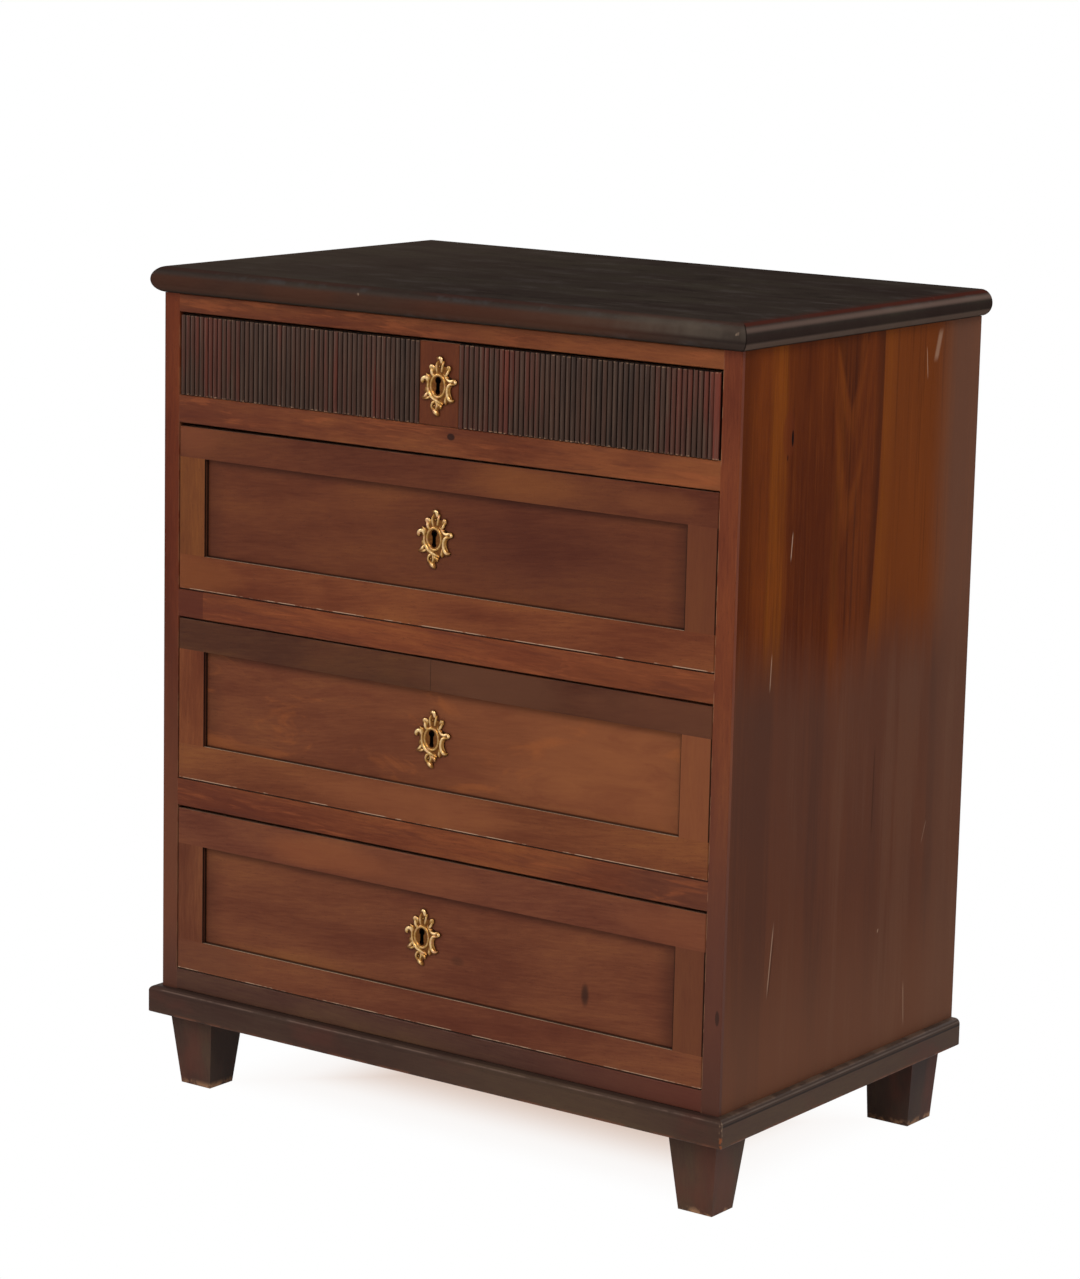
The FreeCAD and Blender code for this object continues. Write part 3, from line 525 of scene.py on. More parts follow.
def side_bands(s, y, z, ripple, lines, upper):
    """Golden and dark bands of the sides' clear upper half."""
    depth = y + ripple * 0.024
    s.paint((108, 54, 18), s.band(depth, 0.05, 0.16, 0.022) * upper * 0.68)
    s.paint((68, 27, 8), s.fall(depth, -0.206, -0.176) * upper * 0.62)
    s.paint((72, 29, 8), s.band(depth, -0.124, -0.052, 0.014) * (lines + 0.6) * upper * 0.56)
    drop = -z + GOLD_EDGE_UP
    edge = y - GOLD_EDGE_BACK + drop * drop * 0.157 + ripple * 0.006
    beyond = s.step(edge, -0.0005, 0.0015) * s.fall(edge, 0.008, 0.03)
    gold = s.band(depth, -0.156, -0.138, 0.01) + s.band(depth, -0.04, -0.032, 0.008) * 0.35 + beyond * 0.7
    s.paint((136, 74, 18), s.least(gold * (lines * 2 + 0.7), 1) * upper * 0.5)
    shadow = s.step(edge, -0.02, -0.003) * s.fall(edge, -0.0012, 0.0008)
    s.paint((58, 24, 10), shadow * s.step(z, 0.43, 0.6) * 0.65)


def pointed_figure(s, y, z, ripple, lines):
    """Dark point with a stem below it, and paler and darker arches round it."""
    middle = abs(y + FIGURE_FORWARD + ripple * 0.01)
    point = s.step(-middle + (z - FIGURE_POINT) * 0.42, -0.002, 0.005)
    s.paint((62, 26, 10), point * (lines * 0.8 + 0.6))
    s.paint((54, 22, 8), s.fall(middle, 0.0006, 0.003) * s.band(z, 0.56, 0.77, 0.03) * 0.5)
    bow = (y + FIGURE_FORWARD + ripple * 0.012) * (1 / 0.04)
    rise = z + ripple * 0.12 - bow * bow * 0.16
    arch = s.maths("SINE", rise * 70 + ripple * 7)
    inside = s.fall(abs(bow), 0.45, 1.2) * s.step(rise, 0.58, 0.7) * (1 - point)
    s.paint((60, 24, 8), s.step(arch + lines * 2.2, 0.1, 1) * inside * 0.24)
    s.paint((118, 60, 18), s.step(-arch + lines * 2.2, 0, 1) * inside * 0.26)


def side_figure(s, place, reflection_and_sheen_share=1):
    """A side's figure and fine lines, with a painted reflection of the floor that makes it duller below and
    paler near its foot, a rougher finish below, and a painted sheen near its back edge.
    """
    _, y, z = s.apart(place)
    ripple = s.wave(place, (0.4, 0.2, 0.1), (1, 1, 0.22), 9, 3)
    grain = s.wave(place, (0.7, 0.3, 0.5), (1, 1, 0.035), 130, 4, 0.6)
    fine = s.wave(place, (0.2, 0.9, 0.4), (1, 1, 0.02), 340, 3, 0.6)
    soft = s.wave(place, (0.9, 0.6, 0.2), (1, 1, 0.08), 22, 3, 0.55)
    lines = grain + fine * 1.2
    # The duller, rougher lower part, whose colour is a painted reflection of the floor with soft lighter and
    # darker bands in it
    dull_finish_and_floor_reflection = s.fall(z + ripple * 0.12 + grain * 0.05, *FLOOR_REFLECTION_HEIGHTS) * reflection_and_sheen_share
    upper = 1 - dull_finish_and_floor_reflection
    side_bands(s, y, z, ripple, lines, upper)
    pointed_figure(s, y, z, ripple, lines)
    s.paint((58, 24, 8), s.step(lines, 0.06, 0.3) * 0.34)
    s.paint((118, 60, 20), s.step(-lines, 0.08, 0.32) * upper * 0.3)
    s.paint((85, 54, 42), dull_finish_and_floor_reflection * 0.76)
    s.paint((101, 69, 53), s.step(soft + fine * 0.3, 0.02, 0.2) * dull_finish_and_floor_reflection * 0.34)
    s.paint((64, 41, 34), s.step(-soft + fine * 0.3, 0.02, 0.2) * dull_finish_and_floor_reflection * 0.45)
    # Painted reflection of the floor, paler near the foot
    s.paint((108, 73, 55), s.fall(z, 0.12, 0.3) * 0.45)
    # Painted sheen near the back edge
    s.paint((100, 69, 54), s.step(y + ripple * 0.024, 0.125, 0.185) * (0.35 + upper * 0.35) * reflection_and_sheen_share)
    s.rough = s.rough + dull_finish_and_floor_reflection * 0.06


def left_side_marks(s, place, x, y, z):
    """The figure of another board from the same log, turned end for end, with a weaker painted floor
    reflection and back-edge sheen.
    """
    side_figure(s, s.moved(place, (0, 0.03, 0.06), (1, -1, 1)), 0.45)


def right_side_marks(s, place, x, y, z):
    """The side's figure with its knot hole and the painted shade in it, scratches and rubbed streaks."""
    side_figure(s, place)
    outside = s.step(x, *SIDE_FACE)
    for colour, strokes in (((44, 24, 17), DARK_STREAKS), ((176, 146, 124), SIDE_SCRATCHES)):
        for *stroke, share in strokes:
            s.paint(colour, s.stroke(y, z, *stroke) * outside * share)
    for *oval, colour, share in KNOT_SPOTS:
        s.paint(colour, s.spot(y, z, *oval) * outside * share)


def strip_marks(s, place, x, y, z, low, pale):
    """Pale seam on a strip's inner edge, its duller lower end, and a dent in the right-hand one."""
    broken = s.step(s.noise(place, 60), 0.42, 0.58)
    s.paint(low, s.fall(z, 0.22, 0.6) * 0.85)
    s.paint((76, 47, 38), s.fall(z, 0.115, 0.2) * 0.8)
    s.paint((142, 104, 76), s.band(abs(x), *STRIP_SEAM, 0.0003) * broken * pale)
    s.paint((44, 30, 26), s.spot(x, z, STRIP_DENT, 0.0024, 0.008) * 0.75)


def rail_marks(s, place, x, y, z):
    """Tones that change along the rails, a burn on the first, and the let-in end of the second."""
    high = s.step(z, *BOTTOM_RAIL_TOP)
    wave = s.wave(place, (0.6, 0.1, 0.3), (1, 1, 3), 9, 3)
    s.paint((126, 72, 42), s.step(x + wave * 0.6, -0.05, 0.34) * s.step(z, *UPPER_RAILS) * 0.34)
    s.paint((84, 50, 38), s.step(x + wave * 0.3, 0.1, 0.3) * high * s.fall(z, *UPPER_RAILS) * 0.55)
    s.paint((80, 38, 28), s.fall(x + wave * 0.4, -0.33, -0.08) * high * 0.45)
    s.paint((76, 36, 27), s.step(wave, 0.06, 0.2) * high * 0.35)
    flame = s.wave(place, (0.2, 0.7, 0.4), (1, 1, 9), 13, 4, 0.6, 0.8, turn=(0, 0.05, 0))
    s.paint((140, 76, 44), s.step(flame, 0.03, 0.2) * high * 0.4)
    s.paint((72, 36, 28), s.step(-flame, 0.03, 0.2) * high * 0.4)
    s.paint((89, 45, 35), s.step(x, 0.05, 0.33) * (1 - high) * 0.7)
    s.paint((30, 20, 18), s.spot(x, z, RAIL_BURN, 0.005, 0.0036) * 0.85)
    s.paint((70, 32, 25), s.fall(x, *LET_IN_END) * s.band(z, 0.5, 0.535, 0.001) * 0.6)


NOSE_RADIUS = 13.35 * MM
TOP_HALF_WIDTH = 0.3595
TOP_HALF_DEPTH = 0.22455
TOP_LEVEL = 0.86
NOSE_BACK_END = (0.2238, 0.2242)
# Scratches on the top: direction, offset of their pattern
TOP_SCRATCHES = ((0.1, 0.0), (0.5, 3.0), (-0.3, 7.0))


def top_marks(s, place, x, y, z):
    """Near-black flat with faint scratches, and worn red and painted highlight, shade and reflection bands
    round the half-round nose.
    """
    flat = s.upward(0.95, 0.99)
    smear = s.noise(s.moved(place, (0.2, 0.5, 0.1), (2.4, 5, 1), (0, 0, 0.12)), 7, 5, 0.62)
    s.paint((66, 60, 57), s.step(smear, 0.5, 0.72) * flat * 0.4)
    s.paint((34, 28, 26), s.step(-smear, -0.46, -0.32) * flat * 0.5)
    for turn, gap in TOP_SCRATCHES:
        lines = s.noise(s.moved(place, (gap, gap, 0), (1.3, 80, 1), (0, 0, turn)), 9, 2)
        faint = s.step(s.noise(s.moved(place, (gap, 0, gap)), 14, 2), 0.48, 0.62)
        s.paint((118, 108, 100), s.step(lines, 0.64, 0.76) * faint * flat * 0.26)
    from_side = TOP_HALF_WIDTH - abs(x)
    from_front = y + TOP_HALF_DEPTH
    sideways = s.step(from_front - from_side, -0.0004, 0.0004) * s.fall(y, *NOSE_BACK_END)
    patchy = s.step(s.noise(place, 6), 0.3, 0.5)
    s.paint((62, 32, 26), s.fall(from_side, 0.013, 0.022) * flat * patchy * 0.3)
    # round the nose: 0 at the flat above, 1 at the middle of the rounding, 2 at its lower edge
    down = (TOP_LEVEL - z) * (1 / NOSE_RADIUS)
    red = s.step(down, 0.006, 0.06) * s.fall(down, 0.16, 0.3) * (sideways * 0.5 + 0.25)
    s.paint((70, 30, 23), red * patchy)
    # Painted light round the nose: a highlight in its upper part that fades towards the front, shade at its
    # middle, a reflection of the floor lower down, and shade at its lower edge
    highlight_fading = s.step(y, -0.25, 0.2) * 0.3 + 0.7
    s.paint((122, 100, 91), s.band(down, 0.44, 0.5, 0.26) * (sideways * highlight_fading * 0.42 + 0.06))
    s.paint((44, 33, 30), s.band(down, 0.98, 1.22, 0.24) * (sideways * 0.42 + 0.14))
    s.paint((104, 86, 76), s.band(down, 1.52, 1.78, 0.2) * (sideways * 0.42 + 0.1))
    s.paint((32, 24, 21), s.step(down, 1.88, 1.97) * 0.5)
    brown = (1 - sideways) * s.band(down, 0.75, 1.6, 0.35) * s.fall(x, 0.16, 0.34)
    s.paint((84, 46, 30), brown * (patchy * 0.5 + 0.5) * 0.42)
    s.paint((84, 72, 62), s.fall(x, -0.34, 0.05) * flat * 0.2)
    # A painted grey highlight on the front of the nose towards its right end
    grey = s.step(x, 0.06, 0.33) * (1 - sideways) * s.band(down, 0.3, 1, 0.35)
    s.paint((92, 82, 72), grey * s.step(smear, 0.2, 0.74) * 0.5)
    mitre = s.fall(abs(from_side - from_front), 0.0004, 0.0012)
    s.paint((24, 18, 16), mitre * s.step(down, 0.06, 0.15) * 0.8)
    nick = s.step(s.noise(place, 70, 2), 0.75, 0.79)
    s.paint((130, 110, 94), nick * s.step(down, 0.05, 0.2) * 0.6)


# Heights on the plinth, from its rubbed lower edge to the seam under the case
PLINTH_RUBBED = (0.0786, 0.082)
PLINTH_LINE = (0.0996, 0.1006)
PLINTH_ROUNDING = (0.1002, 0.1018)
ROUNDING_SHEEN = (0.103, 0.1038)
ROUNDING_CREST = (0.1036, 0.1042)
PLINTH_SEAM = (0.1056, 0.1066)


def plinth_marks(s, place, x, y, z, sheen):
    """Rubbed lower edge, the line under the rounding, painted shade on the rounding and on the front's ledge
    under the case, a painted highlight along the rounding on the sides, a worn seam and crest, and the
    chipped front corner.
    """
    wear = s.noise(place, 38, 4, 0.6)
    patch = s.noise(s.moved(place, (0.3, 0.7, 0.2), (1, 1, 2)), 12, 3)
    s.paint((84, 46, 38), s.step(patch, 0.52, 0.68) * 0.35)
    s.paint((112, 70, 52), s.fall(z, *PLINTH_RUBBED) * s.step(wear, 0.42, 0.6) * 0.7)
    s.paint((22, 16, 15), s.band(z, *PLINTH_LINE, 0.0008) * sheen * 0.85)
    # Painted shade over the rounding, and on the sides a painted highlight along it
    s.paint((38, 29, 26), s.step(z, *PLINTH_ROUNDING) * (sheen * 0.3 + 0.2))
    s.paint((118, 104, 96), s.band(z, *ROUNDING_SHEEN, 0.0006) * (wear + 0.2) * sheen * 0.45)
    seam = s.band(z, *PLINTH_SEAM, 0.0002) * s.step(wear, 0.4, 0.6)
    s.paint((140, 112, 92), seam * sheen * 0.18)
    # Painted shade on the front's ledge under the case
    s.paint((38, 26, 23), s.upward() * (1 - sheen) * 0.65)
    edge = s.band(z, *ROUNDING_CREST, 0.0005) * s.step(wear, 0.36, 0.56)
    s.paint((120, 96, 84), edge * (1 - sheen) * 0.45)
    corner = s.step(x, 0.356, 0.358) * s.fall(y, -0.223, -0.2205)
    ragged = s.step(s.noise(place, 160), 0.44, 0.56)
    s.paint((140, 78, 42), corner * ragged * s.band(z, 0.078, 0.088, 0.003) * 0.7)
    s.paint((176, 146, 120), corner * (1 - ragged) * s.band(z, 0.09, 0.104, 0.003) * 0.5)


def foot_marks(s, place, x, y, z):
    """Feet with redder patches, painted shade on their inner sides, rubbed through at their soles."""
    # Painted shade on the front left foot's inner side, under the chest
    inner = s.step(s.facing()[0], 0.6, 0.9) * s.fall(x, -0.1, 0) * s.fall(y, -0.1, 0)
    s.paint((34, 25, 21), inner * 0.6)
    patch = s.noise(s.moved(place, (0.5, 0.2, 0.8), (1, 1, 0.5)), 20, 3)
    s.paint((92, 50, 40), s.step(patch, 0.46, 0.64) * 0.45)
    s.paint((46, 34, 30), s.step(-patch, -0.44, -0.3) * 0.35)
    wear = s.noise(place, 55, 4, 0.65)
    s.paint((156, 118, 88), s.fall(z, 0.0008, 0.008) * s.step(wear, 0.44, 0.58) * 0.75)
    s.paint((50, 34, 28), s.step(z, 0.055, 0.08) * 0.35)


def keyhole_shade_marks(s, place, x, y, z):
    """Painted shade inside the keyholes."""
    for middle in KEYHOLES:
        s.paint((7, 5, 4), s.spot(x, z, middle, *KEYHOLE_SHADE_SIZE))


def frame_rail_marks(s, place, x, y, z, level, low, shade, patches):
    """Darker upper strip of a frame, lighter patches, painted shade at the lowest edge and at the back of the
    lower strip's ledge, and a butted joint.
    """
    drift = s.noise(s.moved(place, (0.1, 0.4, 0.8), (1, 3, 3)), 6, 3)
    upper = s.step(z, level - 0.001, level + 0.001)
    s.colour = s.blend(s.colour, shade, upper * (drift * 0.9 + 0.5), "MULTIPLY")
    swirl = s.wave(place, (0.7, 0.2, 0.5), (1, 1, 2), 14, 4, 0.6)
    for middle, across, up, tone, share in patches:
        cloud = s.haze(x + swirl * 0.09, z + swirl * 0.012, middle, across * 1.25, up * 1.3)
        s.paint(tone, cloud * share)
    broken = s.noise(place, 26, 4, 0.7)
    # Painted shade of the running gap along the lowest edge
    s.paint((20, 11, 9), s.fall(z, low + 0.001, low + 0.0016) * 0.92)
    pale = s.band(z, low + 0.0016, low + 0.0021, 0.0003) * s.step(broken, 0.44, 0.56)
    s.paint((168, 142, 118), pale * 0.75)
    ledge = s.upward()
    # Painted shade at the back of the lower strip's ledge, next to the panel
    s.paint((26, 15, 12), ledge * s.step(y, -0.213, -0.2118) * (1 - upper) * 0.9)
    s.paint((92, 54, 38), ledge * upper * (broken * 0.4 + 0.5))
    joint = s.band(x, *BUTT_JOINT_ACROSS, 0.0004) * s.band(z, *BUTT_JOINT_UP, 0.001)
    s.paint((38, 24, 18), joint * 0.6)


def frame_end_marks(s, place, x, y, z, tone):
    """Another tone at the right end, and painted shade along the frame's inner and outer edges."""
    s.paint(tone, s.step(x, 0, 0.1) * 0.65)
    aside = abs(x)
    inner = s.fall(aside, *STRIP_INNER_END)
    painted_gap_shade = s.most(s.fall(y, *STRIP_FRONT), s.step(y, *STRIP_BACK))
    # Painted shade on the inner edge, near black at its front and back, and at the outer end
    s.paint((52, 30, 24), inner * 0.8)
    s.paint((14, 8, 6), s.most(inner * painted_gap_shade, s.step(aside, *STRIP_OUTER_END)) * 0.9)


def panel_marks(s, place, x, y, z, low, top, lighter=0, darker=0):
    """Painted shadow of the frame along the panel's top and ends, painted shade in its left and lower
    corners, marks on the lowest panel, and painted shade in the keyholes.
    """
    wave = s.noise(place, 9) - 0.5
    # Painted shadow cast by the frame's upper strip and its ends
    shade = s.step(z + wave * 0.006, top - 0.013, top) * 0.42
    shade = s.most(shade, s.step(x + wave * 0.01, 0.266, 0.293) * 0.55)
    shade = s.most(shade, s.step(-x + wave * 0.01, 0.262, 0.292) * 0.35)
    s.paint((58, 30, 22), shade)
    s.paint((134, 80, 48), s.step(x + wave * 0.2, -0.22, 0.26) * lighter)
    flame = s.wave(place, (0.3, 0.8, 0.1), (1, 1, 3.2), 8, 4, 0.6, 1.2, turn=(0, 0.1, 0))
    s.paint((150, 84, 42), s.step(flame, 0.02, 0.18) * lighter * 0.55)
    s.paint((88, 42, 30), s.step(-flame, 0.03, 0.18) * lighter * 0.5)
    cloud = s.haze(x + wave * 0.1, z + wave * 0.03, (0.11, (low + top) / 2), 0.16, 0.045)
    s.paint((62, 31, 25), cloud * darker)
    # Painted shade in the corners by the left end strip and along the lower edge
    s.paint((24, 14, 10), s.band(-x, 0.2925, 0.2942, 0.0005) * 0.9)
    s.paint((30, 17, 13), s.fall(z, low + 0.001, low + 0.0022) * 0.7)
    for *oval, tone, share in PANEL_SPOTS:
        s.paint(tone, s.haze(x, z, *oval) * share)
    keyhole_shade_marks(s, place, x, y, z)


# Contrast, roughness, wear, shine and dust; marks; and each node's seed, grain, tone and marks' sizes
WOODS = (
    ((0.9, 0.42, 0.6, 0.05, 0.75), rail_marks, {
        "rail_top": (11, "x", (100, 54, 32)),
        "rail_1": (12, "x", (106, 58, 35)),
        "rail_2": (13, "x", (108, 56, 34)),
        "rail_3": (14, "x", (106, 56, 34)),
        "rail_bottom": (15, "x", (73, 47, 38)),
    }),
    ((0.8, 0.4, 0.5, 0.05, 0.0), strip_marks, {
        "edge_strip_left": (21, "z", (88, 39, 23), (98, 58, 41), 0.2),
        "edge_strip_right": (22, "z", (100, 49, 30), (78, 48, 40), 0.5),
    }),
    ((0.8, 0.4, 0.5, 0.01, 0.0), left_side_marks, {"side_left": (31, "z", (84, 37, 15))}),
    ((0.8, 0.4, 0.5, 0.01, 0.0), right_side_marks, {"side_right": (32, "z", (90, 40, 14))}),
    ((0.4, 0.6, 0.5, 0.0, 0.0), top_marks, {"top_board": (41, "x", (46, 39, 35))}),
    ((0.5, 0.5, 0.25, 0.05, 0.0), plinth_marks, {
        "plinth_front": (51, "x", (68, 50, 41), 0.15),
        "plinth_left": (52, "y", (68, 50, 41), 1.0),
        "plinth_right": (53, "y", (68, 50, 41), 1.0),
    }),
    ((0.6, 0.5, 0.7, 0.05, 0.0), foot_marks, {
        "foot_front_left": (61, "z", (72, 53, 44)),
        "foot_front_right": (62, "z", (72, 53, 44)),
        "foot_rear_left": (63, "z", (72, 53, 44)),
        "foot_rear_right": (64, "z", (58, 43, 37)),
    }),
    ((0.75, 0.4, 0.4, 0.05, 0.3), keyhole_shade_marks, {
        "drawer_1_front": (71, "x", (90, 46, 30)),
        "drawer_1_centre_block": (72, "z", (84, 42, 26)),
    }),
    ((0.75, 0.4, 0.4, 0.05, 0.3), panel_marks, {
        "drawer_2_front": (73, "x", (92, 49, 31), 0.5676, 0.6679, 0.0, 0.3),
        "drawer_3_front": (74, "x", (101, 56, 36), 0.3699, 0.469, 0.55),
        "drawer_4_front": (75, "x", (103, 58, 38), 0.1614, 0.2636),
    }),
    ((0.75, 0.4, 0.4, 0.05, 0.9), frame_rail_marks, {
        "drawer_2_frame_rails": (76, "x", (107, 58, 35), 0.64, 0.5309, (0.62, 0.62, 0.76, 1), PATCHES_2),
        "drawer_3_frame_rails": (77, "x", (108, 61, 37), 0.42, 0.3321, (0.42, 0.48, 0.64, 1), PATCHES_3),
        "drawer_4_frame_rails": (78, "x", (104, 59, 39), 0.22, 0.1286, (0.96, 0.94, 1.0, 1), PATCHES_4),
    }),
    ((0.75, 0.4, 0.4, 0.05, 0.3), frame_end_marks, {
        "drawer_2_frame_ends": (79, "z", (98, 54, 30), (90, 48, 33)),
        "drawer_3_frame_ends": (80, "z", (114, 64, 38), (114, 66, 42)),
        "drawer_4_frame_ends": (81, "z", (108, 63, 40), (86, 47, 32)),
    }),
)


def dress_woods():
    for look, marks, pieces in WOODS:
        for node, (seed, along, tone, *sizes) in pieces.items():
            slope = FRONT_SLOPE if along == "x" and "drawer" in node else 0
            dress(nodes[node], wood(node + "_wood", seed, along, tone, slope, marks, sizes, *look))


# Bare boards and iron inside

BACK_BOARD_WIDTH = 0.1696
INNER_GRAIN = {
    "back_boards": "z",
    "bottom_board": "x",
    "drawer_runners": "y",
    "drawer_kickers": "y",
    "drawer_stops": "x",
    "plinth_back": "x",
}
BOX_TONE = (170, 130, 90)


def dress_inside():
    for index, (node, along) in enumerate(INNER_GRAIN.items()):
        board_width = BACK_BOARD_WIDTH if node == "back_boards" else 0
        dress(nodes[node], bare_pine(node + "_pine", 101 + index, along, board_width=board_width))
    iron = filed_iron()
    for number in range(1, 5):
        for part, along in (("sides", "y"), ("back", "x"), ("bottom", "x")):
            node = f"drawer_{number}_{part}"
            seed = 110 + 3 * number + len(part)
            dress(nodes[node], bare_pine(node + "_pine", seed, along, BOX_TONE))
        dress(nodes[f"drawer_{number}_lock_case"], iron)
        dress(nodes[f"drawer_{number}_lock_bolt"], iron)


# Making pieces


def shaped():
    bpy.ops.object.mode_set(mode="OBJECT")


def only(piece):
    """Selects one piece and nothing else."""
    bpy.ops.object.select_all(action="DESELECT")
    piece.select_set(True)
    bpy.context.view_layer.objects.active = piece


def edit(piece):
    """Opens a piece for shaping, with all of it selected."""
    only(piece)
    bpy.ops.object.mode_set(mode="EDIT")
    bpy.ops.mesh.select_all(action="SELECT")


def round_edges(piece, test, radius, segments):
    """Rounds those edges of the open piece whose middle passes the test."""
    bpy.ops.mesh.select_mode(type="EDGE")
    bpy.ops.mesh.select_all(action="DESELECT")
    shaped()
    corners = piece.data.vertices
    for item in piece.data.edges:
        first, second = item.vertices
        item.select = test((corners[first].co + corners[second].co) / 2)
    bpy.ops.object.mode_set(mode="EDIT")
    bpy.ops.mesh.bevel(offset=radius, segments=segments, affect="EDGES")


def halved(facing, place):
    """Cuts the open piece at a plane and takes away what lies on the facing side."""
    bpy.ops.mesh.select_all(action="SELECT")
    bpy.ops.mesh.bisect(plane_co=place, plane_no=facing, clear_outer=True, use_fill=True)


def apply_all(piece):
    only(piece)
    for modifier in list(piece.modifiers):
        bpy.ops.object.modifier_apply(modifier=modifier.name)


def copied(piece, name):
    """The same shape again with a mesh of its own."""
    return placed(name, piece.data.copy())


def joined(name, pieces):
    bpy.ops.object.select_all(action="DESELECT")
    for piece in pieces:
        piece.select_set(True)
    bpy.context.view_layer.objects.active = pieces[0]
    bpy.ops.object.join()
    pieces[0].name = name
    return pieces[0]


def settled(piece):
    """Bakes a piece's place, turn and size into its mesh."""
    only(piece)
    bpy.ops.object.transform_apply(location=True, rotation=True, scale=True)


def toned(piece, value):
    """Stores one number on a piece for its material to read."""
    tone = piece.data.attributes.new("tone", "FLOAT", "POINT")
    tone.data.foreach_set("value", [value] * len(tone.data))


# Reeded facings of drawer 1

FACING_BACK = -210.05 * MM
FACING_BASE = -212.85 * MM
FACING_LOW = 731.2 * MM
FACING_HIGH = 812.3 * MM
BOARD_ROUNDING = 0.1 * MM
REED_PITCH = 6.0 * MM
REED_VALLEY = 0.7 * MM
REED_SIDES = 20
REED_RISE_SHARE = 0.94
REED_END_ROUNDING = 0.55 * MM
REED_TONES = (0.3, 0.33, 0.36, 0.39, 0.42, 0.45, 0.48, 0.52, 0.6)
WORN_END = 0.5 * MM
END_STRIP_WIDTH = 6.6 * MM
END_STRIP_ROUNDING = 0.9 * MM
END_STRIP_TONE = 0.85
# Left end, right end, width of a plain strip
FACINGS = {
    "left": (-326.5 * MM, -21.5 * MM, 0.0),
    "right": (25.9 * MM, 326.5 * MM, END_STRIP_WIDTH),
}
# Places on the reeds' scale, with their colours; the near-black first one, taken by the board between the
# reeds, is painted shade
REED_STOPS = (
    (0.0, (20, 12, 10)),
    (0.15, (50, 36, 29)),
    (0.45, (62, 42, 33)),
    (0.65, (76, 40, 31)),
    (1.0, (96, 44, 32)),
)


def model_reed(width, length):
    """A half-round reed with its ends rubbed round."""
    near = 0.1 * MM

    def at_an_end(point):
        return point.y < -near and not near <= point.z <= length - near

    middle = (0, 0, length / 2)
    bpy.ops.mesh.primitive_cylinder_add(vertices=REED_SIDES, radius=width / 2, depth=length, location=middle)
    reed = bpy.context.object
    settled(reed)
    edit(reed)
    bpy.ops.mesh.bisect(plane_co=(0, 0, 0), plane_no=(0, 1, 0), clear_outer=True)
    bpy.ops.mesh.select_all(action="SELECT")
    bpy.ops.transform.resize(value=(1, REED_RISE_SHARE, 1), center_override=(0, 0, 0))
    round_edges(reed, at_an_end, REED_END_ROUNDING, 2)
    shaped()
    bpy.ops.object.shade_smooth_by_angle(angle=math.radians(40))
    return reed


def model_board(name, low, high, rounding):
    """A board between two corners, with its front corners eased."""
    middle = (Vector(low) + Vector(high)) / 2
    bpy.ops.mesh.primitive_cube_add(size=1, location=middle, scale=Vector(high) - Vector(low))
    made = bpy.context.object
    made.name = name
    settled(made)
    edit(made)
    round_edges(made, lambda point: point.y < low[1] + 0.01 * MM, rounding, 3)
    shaped()
    return made


def reeded_facing(name, left, right, end_width):
    """Half-round reeds side by side on a thin board, each with its own tone and wear."""
    count = round((right - left - end_width) / REED_PITCH)
    step = (right - left - end_width) / count
    width = step - REED_VALLEY
    reed = model_reed(width, FACING_HIGH - FACING_LOW - WORN_END)
    pieces = []
    for index in range(count):
        twin = copied(reed, f"{name}_reed_{index}")
        toned(twin, random.choice(REED_TONES))
        rise = FACING_LOW + random.uniform(0, 0.9) * WORN_END
        twin.location = (left + index * step + width / 2, FACING_BASE, rise)
        settled(twin)
        pieces.append(twin)
    bpy.data.objects.remove(reed)
    low = (left, FACING_BASE, FACING_LOW)
    backing = model_board(name + "_board", low, (right, FACING_BACK, FACING_HIGH), BOARD_ROUNDING)
    # The board between the reeds takes the near-black first tone: painted shade
    toned(backing, 0)
    pieces.append(backing)
    if end_width > 0:
        low = (right - end_width, FACING_BASE - width / 2 * REED_RISE_SHARE, FACING_LOW)
        strip = model_board(name + "_end", low, (right, FACING_BASE, FACING_HIGH), END_STRIP_ROUNDING)
        toned(strip, END_STRIP_TONE)
        pieces.append(strip)
    return joined(name, pieces)


def reed_wood():
    """Dark brown reeds, redder in parts, with painted highlights on their crests and painted shade between
    them, rubbed pale at their ends.
    """
    s = material("reed_wood")
    place = s.place()
    across, back, up = s.apart(place)
    offset = (0.3, 0.1, 0.7)
    tone = s.node("ShaderNodeAttribute", {"attribute_name": "tone"}, output="Fac")
    grain = s.noise(s.moved(place, offset, (16, 16, 1)), 20, 4, 0.6)
    reach = s.wave(place, offset, (30, 0, 1), 16, 2)
    patch = s.wave(place, offset, (3, 3, 1), 5, 3)
    end = s.step(across, 0.2, 0.33) * 0.04
    own = tone + s.step(tone, 0.05, 0.15) * (reach * 0.55 + patch * 1 + end)
    s.ground(s.least(own, 1), REED_STOPS)
    s.paint((30, 18, 15), s.step(grain, 0.5, 0.72) * 0.45)
    rise = FACING_BASE - back
    # A painted highlight along each reed's crest
    crest_highlight = s.band(rise, 2.3 * MM, 3 * MM, 0.2 * MM)
    s.paint((98, 76, 62), crest_highlight * s.step(-reach, -0.04, 0.14) * 0.28)
    # Painted shade in the valleys between the reeds
    valley_shade = s.fall(rise, 0.5 * MM, 1.2 * MM)
    s.paint((12, 7, 6), valley_shade * 0.95)
    foot = s.fall(up, FACING_LOW + 0.6 * MM, FACING_LOW + 2 * MM)
    head = s.step(up, FACING_HIGH - 1.4 * MM, FACING_HIGH - 0.6 * MM)
    chipped = s.step(s.noise(place, 330, 2), 0.5, 0.62)
    s.paint((168, 132, 104), chipped * s.least(foot + head * 0.7, 1) * (1 - valley_shade) * 0.6)
    s.rough = 0.45 + (grain - 0.5) * 0.3
    return s.finish(grain, 0.08 * MM, 0.6, shine=0.12)


